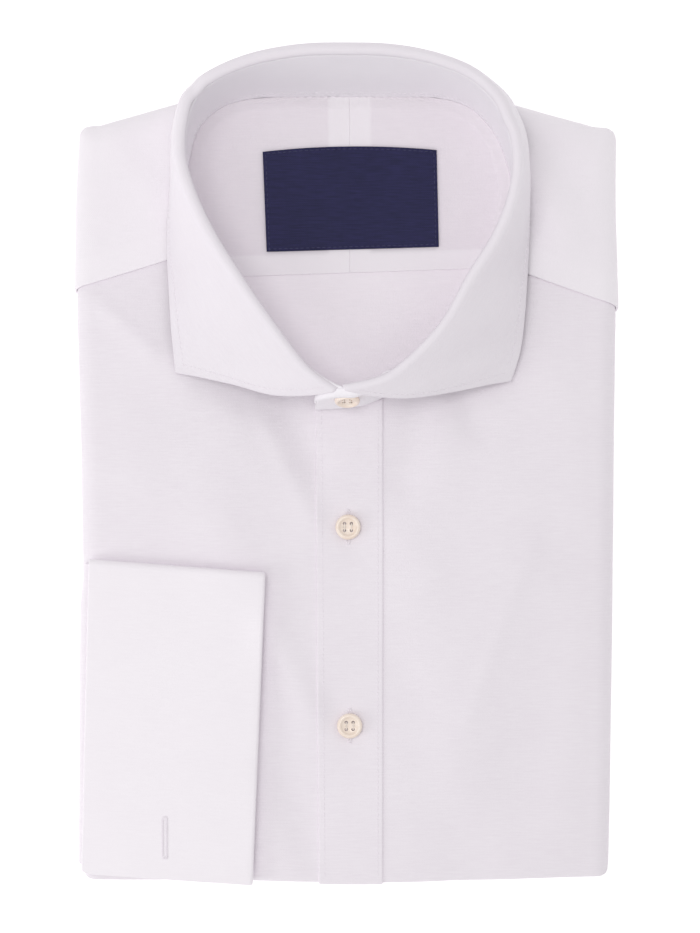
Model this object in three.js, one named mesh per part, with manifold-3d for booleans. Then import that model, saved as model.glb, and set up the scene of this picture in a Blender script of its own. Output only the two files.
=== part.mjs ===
// Long sleeve dress shirt, folded flat and lying on its back with the collar standing.
// Millimetres, +Z up from the surface it lies on, +Y towards the collar, +X to the right
// of someone looking down on the front. Each piece that is cut and sewn is one named mesh.
import * as THREE from 'three';
import Module from 'manifold-3d';

const wasm = await Module();
wasm.setup();

// Driving dimensions
const cloth = 1.2;               // wall of a body panel
const seamGap = 0.3;             // clearance between pieces that meet
const collarWall = 1.4;          // wall of the band and of the leaf, with their interlining
const rollRadius = 2.1;          // turn of the leaf over the band
const edgeReach = 8;             // how far in the cloth starts to round over a folded edge
const rollShare = 0.52;          // share of the stack's height taken by the top fold
const lowerSplit = 0.5;          // share of the rest taken by the middle fold
const sideSag = 1.6;             // how much lower the front lies at the sides
const floorHeight = 14.6;        // top of the hidden layers inside the neck
const floorRise = 5.2;           // how far they rise towards the front of the neck
const yokeSeamY = 81;            // seam between inner yoke and back panel
const yokeSplitX = 0.8;          // centre seam of the yoke
const placketLeft = -13.6;
const placketRight = 14.8;
const placketTop = 22.6;
const placketHem = 13;           // height at which its lower end stops, under the fold
const buttonWidth = 10.6;
const buttonThickness = 2.4;

// Outline of the folded body, from the left shoulder down and round to the left shoulder
const outlineRows = [
  { x: -108.0, y: 141.6 },
  { x: -113.2, y: 137.0 },
  { x: -114.8, y: 112.0 },
  { x: -114.8, y: 74.0 },
  { x: -113.2, y: 48.0 },
  { x: -111.4, y: 6.0 },
  { x: -110.6, y: -57.0 },
  { x: -111.1, y: -121.0 },
  { x: -111.2, y: -171.0 },
  { x: -107.5, y: -175.8 },
  { x: -41.5, y: -175.8 },
  { x: 4.0, y: -176.9 },
  { x: 64.4, y: -175.6 },
  { x: 106.8, y: -174.6 },
  { x: 110.2, y: -171.5 },
  { x: 111.1, y: -120.6 },
  { x: 111.8, y: -57.0 },
  { x: 112.2, y: 6.0 },
  { x: 112.3, y: 44.0 },
  { x: 113.7, y: 71.6 },
  { x: 112.8, y: 112.0 },
  { x: 113.0, y: 136.8 },
  { x: 110.6, y: 140.2 },
  { x: 71.3, y: 151.2 },
  { x: 40.0, y: 159.5 },
  { x: 0.0, y: 162.5 },
  { x: -40.0, y: 159.5 },
  { x: -71.0, y: 152.2 },
];
const outlineStep = 17;
const outlineCentreY = -7;
const halfWidth = 112.5;
const halfLength = 169.5;

// Height of the front over the surface, along the shirt
const heightRows = [
  { y: -176, z: 21.0 },
  { y: -150, z: 23.2 },
  { y: -100, z: 25.0 },
  { y: -40, z: 26.2 },
  { y: 24, z: 27.0 },
  { y: 38, z: 26.2 },
  { y: 50, z: 25.0 },
  { y: 62, z: 23.6 },
  { y: 74, z: 22.0 },
  { y: 87, z: 20.6 },
  { y: 102, z: 19.2 },
  { y: 118, z: 18.2 },
  { y: 132, z: 17.8 },
  { y: 165, z: 17.6 },
];

// Broad soft folds of the front: a line, how wide it spreads and how far it rises
const softFolds = [
  { fromX: -50, fromY: 10, toX: -16, toY: -24, width: 15, rise: 1.1 },
  { fromX: -34, fromY: 30, toX: -17, toY: -10, width: 11, rise: -1.0 },
  { fromX: -98, fromY: 66, toX: -78, toY: 40, width: 14, rise: 1.0 },
  { fromX: 84, fromY: -26, toX: 56, toY: -124, width: 20, rise: -1.3 },
  { fromX: 42, fromY: 8, toX: 46, toY: -100, width: 22, rise: 1.0 },
  { fromX: -24, fromY: -60, toX: -16, toY: -108, width: 10, rise: 0.9 },
];

// The collar from its left front end round the back to its right front end: the crest
// where the leaf rolls over, the leaf's outer edge and the seam of the band to the body
const collarRows = [
  { crest: [-8.2, 30.1, 54.0], edge: [-72.1, 38.3, 28.6], seam: [-11.0, 27.9, 26.6] },
  { crest: [-18.9, 40.4, 54.5], edge: [-72.7, 44.6, 28.6], seam: [-23.0, 34.4, 26.0] },
  { crest: [-35.2, 61.7, 55.5], edge: [-73.9, 57.0, 28.0], seam: [-42.0, 53.8, 24.2] },
  { crest: [-45.5, 76.8, 56.0], edge: [-75.4, 74.9, 25.8], seam: [-52.0, 68.3, 22.3] },
  { crest: [-56.9, 95.2, 56.5], edge: [-76.6, 90.3, 23.2], seam: [-60.0, 83.5, 20.6] },
  { crest: [-65.1, 112.8, 57.0], edge: [-76.2, 107.4, 21.4], seam: [-66.3, 102.3, 18.8] },
  { crest: [-68.8, 126.7, 57.0], edge: [-74.6, 126.7, 20.4], seam: [-68.4, 118.0, 17.8] },
  { crest: [-68.3, 140.2, 57.3], edge: [-72.2, 145.4, 20.2], seam: [-67.2, 130.0, 17.3] },
  { crest: [-64.6, 152.4, 57.6], edge: [-65.6, 157.0, 17.8], seam: [-63.5, 142.0, 17.2] },
  { crest: [-55.6, 159.3, 58.0], edge: [-56.0, 161.4, 15.6], seam: [-54.0, 151.0, 17.2] },
  { crest: [-40.1, 165.9, 58.0], edge: [-40.0, 164.6, 14.2], seam: [-40.0, 155.2, 17.3] },
  { crest: [-19.6, 169.8, 58.0], edge: [-20.0, 167.2, 13.4], seam: [-20.0, 155.9, 17.4] },
  { crest: [0.0, 170.4, 58.0], edge: [0.0, 168.0, 13.0], seam: [0.0, 156.0, 17.4] },
  { crest: [19.7, 169.6, 58.0], edge: [20.0, 167.2, 13.4], seam: [20.0, 155.9, 17.4] },
  { crest: [37.7, 165.9, 58.0], edge: [40.0, 164.4, 14.2], seam: [40.0, 155.2, 17.3] },
  { crest: [52.0, 159.7, 58.0], edge: [55.4, 160.6, 15.6], seam: [53.0, 150.5, 17.2] },
  { crest: [62.2, 150.0, 57.6], edge: [66.6, 154.8, 17.8], seam: [62.5, 140.1, 17.2] },
  { crest: [68.4, 136.9, 57.3], edge: [73.4, 142.0, 20.2], seam: [67.5, 128.5, 17.3] },
  { crest: [70.0, 124.7, 57.0], edge: [75.9, 124.0, 20.6], seam: [69.7, 118.0, 17.8] },
  { crest: [68.4, 111.6, 57.0], edge: [76.2, 108.0, 21.4], seam: [68.4, 104.0, 18.8] },
  { crest: [62.3, 95.2, 56.5], edge: [75.8, 92.0, 23.2], seam: [63.5, 88.0, 20.6] },
  { crest: [51.2, 77.2, 56.0], edge: [75.2, 80.0, 25.4], seam: [56.0, 71.5, 22.3] },
  { crest: [39.4, 56.8, 55.5], edge: [74.0, 62.0, 27.8], seam: [46.0, 56.0, 24.2] },
  { crest: [20.1, 37.9, 54.5], edge: [72.3, 48.0, 29.0], seam: [27.5, 36.3, 26.0] },
  { crest: [4.9, 29.3, 54.0], edge: [69.5, 36.2, 29.2], seam: [14.0, 26.7, 26.6] },
];
const collarStepsPerRow = 2;
const leafBelly = 2.4;           // how far the leaf bows out between roll and edge
const leafFrontDip = 3.0;        // how far its front edges bow towards the placket

// The band's front ends past the leaf: top edge and seam, under end first, over end last
const underEndRows = [
  { top: [6.5, 33.2, 50.4], seam: [6.5, 29.2, 27.6] },
  { top: [-1.6, 32.4, 51.4], seam: [-2.0, 27.6, 27.2] },
];
const overEndRows = [
  { top: [-3.0, 28.6, 51.0], seam: [3.0, 23.8, 27.2] },
  { top: [-9.0, 28.0, 49.4], seam: [-6.0, 23.4, 27.2] },
  { top: [-12.6, 27.2, 46.0], seam: [-12.0, 23.4, 27.2] },
  { top: [-14.3, 26.0, 39.0], seam: [-14.3, 23.4, 27.2] },
];

// Front closing stretch of the neck seam, right to left, under the band's ends
const neckFrontRows = [
  { x: 9.0, y: 24.2 },
  { x: -3.0, y: 23.6 },
  { x: -14.4, y: 23.6 },
  { x: -16.8, y: 29.4 },
];

// Front yoke seams, from the side to the collar
const yokeSeams = {
  left: [{ x: -130, y: 69.2 }, { x: -76.4, y: 85.9 }, { x: -50, y: 94.1 }],
  right: [{ x: 130, y: 60.8 }, { x: 76.0, y: 80.0 }, { x: 50, y: 89.2 }],
};

// Double cuff: corners of its flattened shape on the front, and its plies
const cuff = {
  topLeft: [-107.6, -39.6],
  topRight: [-34.7, -45.0],
  bottomRight: [-40.2, -175.6],
  bottomLeft: [-110.6, -172.2],
  wall: 1.2,
  plyGap: 0.3,
  rest: 0.6,                     // clearance to the front it lies on
};

// Neck label corners
const labelCorners = [[-36.0, 132.2], [1.0, 134.6], [37.6, 133.0], [38.5, 92.0], [-34.3, 89.9]];
const labelWall = 1.0;

const colours = {
  body: 0xe8e3ea,
  shade: 0xdcd4dc,
  cuff: 0xf0ecf2,
  label: 0x2a2b5a,
  button: 0xebdecd,
};

// Smooth value of one column of a table at a place along it
function tableValue(rows, at) {
  const last = rows.length - 1;
  const index = rows.findIndex((row) => row.y > at);
  if (index === 0) return rows[0].z;
  if (index < 0) return rows[last].z;
  const before = rows[index - 1];
  const after = rows[index];
  const slopeAt = (i) => {
    const low = rows[Math.max(i - 1, 0)];
    const high = rows[Math.min(i + 1, last)];
    return (high.z - low.z) / (high.y - low.y);
  };
  const span = after.y - before.y;
  const t = (at - before.y) / span;
  const startPull = slopeAt(index - 1) * span;
  const endPull = slopeAt(index) * span;
  const t2 = t * t;
  const t3 = t2 * t;
  return (2 * t3 - 3 * t2 + 1) * before.z + (t3 - 2 * t2 + t) * startPull
    + (3 * t2 - 2 * t3) * after.z + (t3 - t2) * endPull;
}

// Height of the front's outer face at a place, before it rounds over at the edges
function frontHeight(x, y) {
  let z = tableValue(heightRows, y) - sideSag * (x / halfWidth) ** 4;
  for (const fold of softFolds) {
    const alongX = fold.toX - fold.fromX;
    const alongY = fold.toY - fold.fromY;
    const reach = (x - fold.fromX) * alongX + (y - fold.fromY) * alongY;
    const t = THREE.MathUtils.clamp(reach / (alongX ** 2 + alongY ** 2), 0, 1);
    const far = Math.hypot(x - fold.fromX - alongX * t, y - fold.fromY - alongY * t);
    z += fold.rise * Math.exp(-((far / fold.width) ** 2));
  }
  return z;
}

// Height of the layers that show inside the neck
function neckFloor(x, y) {
  const forward = THREE.MathUtils.smoothstep(-y, -yokeSeamY, -22);
  const sideways = 1.6 * (x / 70) ** 4;
  return floorHeight + floorRise * forward + sideways;
}

// A closed mesh from points and triangles, its faces turned outward
function closedGeometry(points, triangles) {
  let volume = 0;
  for (const [a, b, c] of triangles) {
    volume += points[a].dot(points[b].clone().cross(points[c]));
  }
  const index = volume < 0 ? triangles.map(([a, b, c]) => [a, c, b]) : triangles;
  const geometry = new THREE.BufferGeometry();
  geometry.setAttribute('position', new THREE.Float32BufferAttribute(
    points.flatMap((point) => [point.x, point.y, point.z]), 3));
  geometry.setIndex(index.flat());
  return geometry;
}

function quad(triangles, a, b, c, d) {
  triangles.push([a, b, c], [a, c, d]);
}

// A solid through rings of equal count, closed at a point inside its first and last ring
function ringSolid(rings) {
  const count = rings[0].length;
  const points = rings.flat();
  const triangles = [];
  for (let ring = 0; ring < rings.length - 1; ring += 1) {
    for (let i = 0; i < count; i += 1) {
      const next = (i + 1) % count;
      const low = ring * count;
      const high = low + count;
      quad(triangles, low + i, low + next, high + next, high + i);
    }
  }
  for (const [start, flip] of [[0, true], [(rings.length - 1) * count, false]]) {
    const centre = new THREE.Vector3();
    for (let i = 0; i < count; i += 1) centre.add(points[start + i]);
    const hub = points.push(centre.divideScalar(count)) - 1;
    for (let i = 0; i < count; i += 1) {
      const next = (i + 1) % count;
      triangles.push(flip ? [hub, start + next, start + i] : [hub, start + i, start + next]);
    }
  }
  return closedGeometry(points, triangles);
}

// A solid between two grids of the same size
function gridSolid(outer, inner) {
  const rows = outer.length;
  const columns = outer[0].length;
  const points = [...outer.flat(), ...inner.flat()];
  const below = rows * columns;
  const at = (row, column) => row * columns + column;
  const triangles = [];
  for (let row = 0; row < rows - 1; row += 1) {
    for (let column = 0; column < columns - 1; column += 1) {
      const a = at(row, column);
      const b = at(row, column + 1);
      const c = at(row + 1, column + 1);
      const d = at(row + 1, column);
      quad(triangles, a, b, c, d);
      quad(triangles, below + d, below + c, below + b, below + a);
    }
  }
  const rim = [];
  for (let column = 0; column < columns - 1; column += 1) rim.push(at(0, column));
  for (let row = 0; row < rows - 1; row += 1) rim.push(at(row, columns - 1));
  for (let column = columns - 1; column > 0; column -= 1) rim.push(at(rows - 1, column));
  for (let row = rows - 1; row > 0; row -= 1) rim.push(at(row, 0));
  rim.forEach((a, i) => {
    const b = rim[(i + 1) % rim.length];
    quad(triangles, b, a, below + a, below + b);
  });
  return closedGeometry(points, triangles);
}

// A wall of even thickness about a grid of mid-wall points
function wallSolid(middle, thickness) {
  const rows = middle.length;
  const columns = middle[0].length;
  const shift = (side) => middle.map((line, row) => line.map((point, column) => {
    const alongRows = middle[Math.min(row + 1, rows - 1)][column].clone()
      .sub(middle[Math.max(row - 1, 0)][column]);
    const alongColumns = line[Math.min(column + 1, columns - 1)].clone()
      .sub(line[Math.max(column - 1, 0)]);
    const normal = alongRows.cross(alongColumns).normalize();
    return point.clone().addScaledVector(normal, side * thickness / 2);
  }));
  return gridSolid(shift(1), shift(-1));
}

// Solids for cutting and joining, and back again
function toManifold(geometry) {
  return new wasm.Manifold(new wasm.Mesh({
    numProp: 3,
    vertProperties: new Float32Array(geometry.getAttribute('position').array),
    triVerts: new Uint32Array(geometry.getIndex().array),
  }));
}

function toGeometry(manifold) {
  const mesh = manifold.getMesh();
  const geometry = new THREE.BufferGeometry();
  geometry.setAttribute('position', new THREE.Float32BufferAttribute(mesh.vertProperties, 3));
  geometry.setIndex(Array.from(mesh.triVerts));
  return geometry;
}

// An upright prism over a closed outline, to cut pieces to their pattern shape
function prism(points, low = -10, high = 120) {
  const triangles = THREE.ShapeUtils.triangulateShape(
    points.map((point) => new THREE.Vector2(point.x, point.y)), []);
  const count = points.length;
  const corners = [low, high].flatMap((z) => points.map(
    (point) => new THREE.Vector3(point.x, point.y, z)));
  const faces = [];
  for (const [a, b, c] of triangles) {
    faces.push([c, b, a], [count + a, count + b, count + c]);
  }
  const turn = THREE.ShapeUtils.area(points) > 0 ? 1 : -1;
  for (let i = 0; i < count; i += 1) {
    const next = (i + 1) % count;
    if (turn > 0) quad(faces, i, next, count + next, count + i);
    else quad(faces, next, i, count + i, count + next);
  }
  return toManifold(closedGeometry(corners, faces));
}

// Points of the body's outline, the long stretches between table rows divided evenly
function outlinePoints() {
  const points = [];
  outlineRows.forEach((row, i) => {
    const next = outlineRows[(i + 1) % outlineRows.length];
    const start = new THREE.Vector3(row.x, row.y, 0);
    const end = new THREE.Vector3(next.x, next.y, 0);
    const steps = Math.max(1, Math.round(start.distanceTo(end) / outlineStep));
    for (let step = 0; step < steps; step += 1) {
      points.push(start.clone().lerp(end, step / steps));
    }
  });
  return points;
}

const outline = outlinePoints();

// A point of the outline drawn inwards, the same amount at the sides and at the ends
function drawnIn(point, amount) {
  return new THREE.Vector3(
    point.x * (1 - amount / halfWidth),
    outlineCentreY + (point.y - outlineCentreY) * (1 - amount / halfLength),
    0);
}

// A point on the fold round the body's edge: turn 0 is on top, a half turn is underneath,
// and level is how far outside the front's own face the surface lies
function edgePoint(point, turn, level) {
  const start = drawnIn(point, edgeReach);
  const top = frontHeight(start.x, start.y);
  const outward = point.clone().sub(start);
  const reach = outward.length();
  outward.normalize();
  const across = (reach + level) * Math.sin(turn);
  const drop = top * rollShare * (1 - Math.cos(turn)) / 2;
  const place = start.addScaledVector(outward, across);
  place.z = top - drop + level * Math.cos(turn);
  return place;
}

const innerShares = [0.08, 0.26, 0.44, 0.6, 0.74, 0.86, 0.95];
const edgeTurns = [0, 0.17, 0.34, 0.5, 0.66, 0.83, 1].map((share) => share * Math.PI);

function topRings(level) {
  return innerShares.map((share) => outline.map((point) => {
    const start = drawnIn(point, edgeReach);
    const x = start.x * share;
    const y = outlineCentreY + (start.y - outlineCentreY) * share;
    return new THREE.Vector3(x, y, frontHeight(x, y) + level);
  }));
}

// The body's folded form at one level, solid down to its under edge or below it
function foldedForm(level, openBelow) {
  const rings = topRings(level);
  for (const turn of edgeTurns) {
    rings.push(outline.map((point) => edgePoint(point, turn, level)));
  }
  if (openBelow) {
    const rim = rings[rings.length - 1];
    rings.push(rim.map((point) => new THREE.Vector3(point.x, point.y, point.z - 6)));
  }
  return toManifold(ringSolid(rings));
}

// A shell of cloth that follows the folded body between two levels
function bodyShell(innerLevel, outerLevel) {
  return foldedForm(outerLevel, false).subtract(foldedForm(innerLevel, true));
}

// The neck seam as a loop, drawn outwards by a given amount
function neckLoop(outward) {
  const loop = [
    ...collarLine(collarRows, 'seam').slice(collarStepsPerRow),
    ...neckFrontRows,
  ].map((point) => new THREE.Vector2(point.x, point.y));
  return loop.map((point, i) => {
    const before = loop[(i + loop.length - 1) % loop.length];
    const after = loop[(i + 1) % loop.length];
    const along = after.clone().sub(before).normalize();
    return new THREE.Vector2(point.x - along.y * outward, point.y + along.x * outward);
  });
}

// Hidden back, tail and sleeves: one solid whose edge shows the folds one on another
function foldedLayers() {
  const level = -(cloth + seamGap);
  const rings = topRings(level);
  for (const turn of edgeTurns) {
    rings.push(outline.map((point) => edgePoint(point, turn, level)));
  }
  const heightAt = (point) => {
    const start = drawnIn(point, edgeReach);
    return frontHeight(start.x, start.y) * (1 - rollShare) - 2 * seamGap;
  };
  const ring = (inset, height) => rings.push(outline.map((point) => {
    const place = drawnIn(point, inset);
    place.z = height(heightAt(point));
    return place;
  }));
  const neckInset = edgeReach + 1.2;
  ring(neckInset, (top) => top + cloth);
  ring(neckInset, (top) => top);
  ring(edgeReach - 2, (top) => top);
  for (const share of [0.2, 0.5, 0.8, 1]) {
    const turn = share * Math.PI;
    ring(6.5 - 5.3 * Math.sin(turn),
      (top) => top - top * lowerSplit * (1 - Math.cos(turn)) / 2);
  }
  for (const share of [0.2, 0.5, 0.8, 1]) {
    const turn = share * Math.PI;
    ring(6 - 5.2 * Math.sin(turn),
      (top) => top * (1 - lowerSplit) * (1 + Math.cos(turn)) / 2);
  }
  const hollow = gridSolid(
    floorGrid(-80, 80, 10, 170, 12, 12, () => 90),
    floorGrid(-80, 80, 10, 170, 12, 12, (x, y) => neckFloor(x, y) - seamGap));
  return toGeometry(toManifold(ringSolid(rings))
    .subtract(toManifold(hollow).intersect(prism(neckLoop(-0.2)))));
}

// A grid of points over a rectangle at the height that a function gives
function floorGrid(lowX, highX, lowY, highY, countX, countY, height) {
  const grid = [];
  for (let row = 0; row <= countY; row += 1) {
    const y = THREE.MathUtils.lerp(lowY, highY, row / countY);
    const line = [];
    for (let column = 0; column <= countX; column += 1) {
      const x = THREE.MathUtils.lerp(lowX, highX, column / countX);
      line.push(new THREE.Vector3(x, y, height(x, y)));
    }
    grid.push(line);
  }
  return grid;
}

// Front panels and outer yokes, cut from one shell along the seams
function yokeLine(side, shift) {
  return yokeSeams[side].map((point) => new THREE.Vector2(point.x, point.y + shift));
}

function bodyPanel(outlinePlan) {
  const neck = prism(neckLoop(collarWall / 2 + 2 * seamGap));
  return toGeometry(bodyShell(-cloth, 0).intersect(prism(outlinePlan)).subtract(neck));
}

function frontPanel(side) {
  const sign = side === 'left' ? -1 : 1;
  const lap = placketRight - 2;
  const edgeX = side === 'left' ? lap - seamGap / 2 : lap + seamGap / 2;
  const seam = yokeLine(side, -seamGap / 2);
  return bodyPanel([
    ...seam,
    new THREE.Vector2(edgeX, seam[2].y),
    new THREE.Vector2(edgeX, -200),
    new THREE.Vector2(sign * 130, -200),
  ]);
}

function outerYoke(side) {
  const sign = side === 'left' ? -1 : 1;
  const splitX = yokeSplitX + sign * seamGap / 2;
  const seam = yokeLine(side, seamGap / 2);
  return bodyPanel([
    ...seam,
    new THREE.Vector2(splitX, seam[2].y),
    new THREE.Vector2(splitX, 200),
    new THREE.Vector2(sign * 130, 200),
  ]);
}

// Placket strip, laid on the fronts and turned under with them at the bottom
function placket() {
  const plan = [
    new THREE.Vector2(placketLeft, placketTop - 0.8),
    new THREE.Vector2(placketRight, placketTop + 0.8),
    new THREE.Vector2(placketRight, -200),
    new THREE.Vector2(placketLeft + 1.4, -200),
  ];
  return toGeometry(bodyShell(seamGap, seamGap + cloth).intersect(prism(plan, placketHem)));
}

// Sheets that lie on the layers inside the neck, cut to the neck loop
function neckSheet(lowX, highX, lowY, highY) {
  const sheet = gridSolid(
    floorGrid(-80, 80, 10, 170, 12, 12, (x, y) => neckFloor(x, y) + cloth),
    floorGrid(-80, 80, 10, 170, 12, 12, neckFloor));
  const plan = [
    new THREE.Vector2(lowX, lowY),
    new THREE.Vector2(highX, lowY),
    new THREE.Vector2(highX, highY),
    new THREE.Vector2(lowX, highY),
  ];
  return toGeometry(toManifold(sheet)
    .intersect(prism(neckLoop(-collarWall / 2 - seamGap)))
    .intersect(prism(plan)));
}

function neckLabel() {
  const level = cloth + seamGap;
  const sheet = gridSolid(
    floorGrid(-45, 45, 80, 145, 6, 5, (x, y) => neckFloor(x, y) + level + labelWall),
    floorGrid(-45, 45, 80, 145, 6, 5, (x, y) => neckFloor(x, y) + level));
  const plan = labelCorners.map(([x, y]) => new THREE.Vector2(x, y));
  return toGeometry(toManifold(sheet).intersect(prism(plan)));
}

// One column of the collar table as a smooth line
function collarLine(rows, key) {
  const curve = new THREE.CatmullRomCurve3(
    rows.map((row) => new THREE.Vector3(...row[key])), false, 'centripetal');
  const steps = (rows.length - 1) * collarStepsPerRow;
  return Array.from({ length: steps + 1 }, (_, i) => curve.getPoint(i / steps));
}

// Level direction out of the collar ring at each point of a line round it
function ringOutward(line) {
  return line.map((point, i) => {
    const before = line[Math.max(i - 1, 0)];
    const after = line[Math.min(i + 1, line.length - 1)];
    const along = after.clone().sub(before).setZ(0).normalize();
    return new THREE.Vector3(-along.y, along.x, 0);
  });
}

// Leaf: up from the band's top, over the roll and down to the outer edge
function collarLeaf() {
  const crest = collarLine(collarRows, 'crest');
  const edge = collarLine(collarRows, 'edge');
  const outward = ringOutward(crest);
  const rollTurns = [-0.5, -0.3, 0, 0.3, 0.5];
  const fallShares = [0.18, 0.42, 0.7, 1];
  const middle = crest.map((point, i) => {
    const radius = rollRadius - collarWall / 2;
    const centre = point.clone();
    centre.z -= radius + collarWall / 2;
    const line = rollTurns.map((turn) => {
      const angle = turn * Math.PI;
      const place = centre.clone().addScaledVector(outward[i], radius * Math.sin(angle));
      place.z += radius * Math.cos(angle);
      return place;
    });
    const start = line[line.length - 1];
    const endShare = Math.abs(2 * i / (crest.length - 1) - 1);
    const dip = leafFrontDip * THREE.MathUtils.smoothstep(endShare, 0.9, 1);
    for (const share of fallShares) {
      const place = start.clone().lerp(edge[i], share);
      const bow = 4 * share * (1 - share);
      place.addScaledVector(outward[i], leafBelly * bow * 0.6);
      place.z += leafBelly * bow * 0.6 * endShare;
      place.y -= dip * bow;
      line.push(place);
    }
    return line;
  });
  return wallSolid(middle, collarWall);
}

// Band: from the neck seam up to just under the roll, its front ends lapped
function collarBand() {
  const crest = collarLine(collarRows, 'crest');
  const outward = ringOutward(crest);
  const seam = collarLine(collarRows, 'seam');
  const top = crest.map((point, i) => {
    const place = point.clone();
    place.addScaledVector(outward[i], -(rollRadius - collarWall / 2));
    place.z -= rollRadius + 2 * seamGap;
    return place;
  });
  const rows = [];
  const endRow = (row) => ({
    top: new THREE.Vector3(...row.top),
    seam: new THREE.Vector3(...row.seam),
  });
  rows.push(...underEndRows.map(endRow));
  for (let i = 2; i < top.length; i += 1) rows.push({ top: top[i], seam: seam[i] });
  rows.push(...overEndRows.map(endRow));
  const middle = rows.map((row) => [0, 0.5, 1].map(
    (share) => row.seam.clone().lerp(row.top, share)));
  return wallSolid(middle, collarWall);
}

// Double cuff: one strip folded round the sleeve's end and turned back on itself
function doubleCuff() {
  const inner = (cuff.wall + cuff.plyGap) / 2;
  const outer = inner + cuff.wall + cuff.plyGap;
  const bend = outer + cuff.wall / 2;
  const lane = [];
  for (const share of [0, 0.25, 0.5, 0.75, 0.97]) lane.push({ along: share, depth: inner });
  const turnCentre = (inner + outer) / 2;
  const turnRadius = (outer - inner) / 2;
  for (const part of [0.25, 0.5, 0.75]) {
    const angle = part * Math.PI;
    lane.push({
      along: 0.97,
      push: turnRadius * Math.sin(angle),
      depth: turnCentre - turnRadius * Math.cos(angle),
    });
  }
  for (const share of [0.97, 0.75, 0.5, 0.25, 0.02]) lane.push({ along: share, depth: outer });
  const flatShares = [0, 0.25, 0.5, 0.75, 1];
  const bendTurns = [0.25, 0.5, 0.75];
  const upperShares = [1, 0.85, 0.65, 0.45, 0.22, 0];
  const wrap = [
    ...flatShares.map((share) => ({ share, turn: 0 })),
    ...bendTurns.map((part) => ({ share: 1, turn: part * Math.PI })),
    ...upperShares.map((share) => ({ share, turn: Math.PI })),
  ];
  const place = ({ along, push = 0, depth }, { share, turn }) => {
    const leftX = THREE.MathUtils.lerp(cuff.bottomLeft[0], cuff.topLeft[0], share);
    const rightX = THREE.MathUtils.lerp(cuff.bottomRight[0], cuff.topRight[0], share);
    const x = THREE.MathUtils.lerp(leftX, rightX, along) + push;
    const lowY = THREE.MathUtils.lerp(cuff.bottomLeft[1], cuff.bottomRight[1], along);
    const highY = THREE.MathUtils.lerp(cuff.topLeft[1], cuff.topRight[1], along) - bend;
    const y = THREE.MathUtils.lerp(lowY, highY, share) + depth * Math.sin(turn);
    const middleZ = frontHeight(x, y) + cuff.rest + bend;
    return new THREE.Vector3(x, y, middleZ - depth * Math.cos(turn));
  };
  const middle = wrap.map((step) => lane.map((point) => place(point, step)));
  return wallSolid(middle, cuff.wall);
}

// Sleeve end: from behind round the body's left side and up to the cuff
function sleeveEnd() {
  const wall = 1.9;
  const inner = (cuff.wall + cuff.plyGap) / 2;
  const bend = inner + cuff.wall * 1.5 + cuff.plyGap;
  const middle = [];
  for (let row = 0; row <= 8; row += 1) {
    const y = THREE.MathUtils.lerp(-168, -46, row / 8);
    const cuffShare = (y - cuff.bottomLeft[1]) / (cuff.topLeft[1] - cuff.bottomLeft[1]);
    const cuffX = THREE.MathUtils.lerp(cuff.bottomLeft[0], cuff.topLeft[0], cuffShare);
    const side = sideOfBody(y) - 2 * seamGap - wall / 2;
    const top = frontHeight(cuffX, y) + cuff.rest + bend;
    const start = cuffX - 3 * seamGap;
    const line = [new THREE.Vector3(start, y, top)];
    for (const part of [0.33, 0.66, 1]) {
      const angle = part * Math.PI / 2;
      line.push(new THREE.Vector3(
        start - (start - side) * Math.sin(angle),
        y,
        top - 8 * (1 - Math.cos(angle))));
    }
    line.push(new THREE.Vector3(side, y, 10));
    line.push(new THREE.Vector3(side, y, 1));
    middle.push(line);
  }
  return wallSolid(middle, wall);
}

function sideOfBody(y) {
  const left = outlineRows.slice(0, 10).reverse().map((row) => ({ y: row.y, z: row.x }));
  return tableValue(left, y);
}

// Four-hole shirt button: raised rim, shallow well, holes through
function buttonGeometry() {
  const r = buttonWidth / 2;
  const t = buttonThickness;
  const profile = [
    [0, 0], [r * 0.86, 0], [r, t * 0.35], [r, t * 0.62], [r * 0.88, t],
    [r * 0.68, t], [r * 0.6, t * 0.62], [0, t * 0.55],
  ].map(([x, y]) => new THREE.Vector2(x, y));
  const segments = 24;
  const rings = profile.slice(1, -1).map((point) => Array.from({ length: segments }, (_, i) => {
    const angle = 2 * Math.PI * i / segments;
    return new THREE.Vector3(point.x * Math.cos(angle), point.x * Math.sin(angle), point.y);
  }));
  let body = toManifold(ringSolid(rings));
  const spacing = 1.45;
  for (const [sideX, sideY] of [[1, 1], [-1, 1], [-1, -1], [1, -1]]) {
    const hole = Array.from({ length: 8 }, (_, i) => new THREE.Vector2(
      sideX * spacing + 0.8 * Math.cos(i * Math.PI / 4),
      sideY * spacing + 0.8 * Math.sin(i * Math.PI / 4)));
    body = body.subtract(prism(hole));
  }
  return toGeometry(body);
}

const shirt = new THREE.Group();

function addPiece(name, geometry, colour, roughness = 0.9) {
  const material = new THREE.MeshStandardMaterial({ color: colour, roughness, metalness: 0 });
  const mesh = new THREE.Mesh(geometry, material);
  mesh.name = name;
  shirt.add(mesh);
  return mesh;
}

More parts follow.
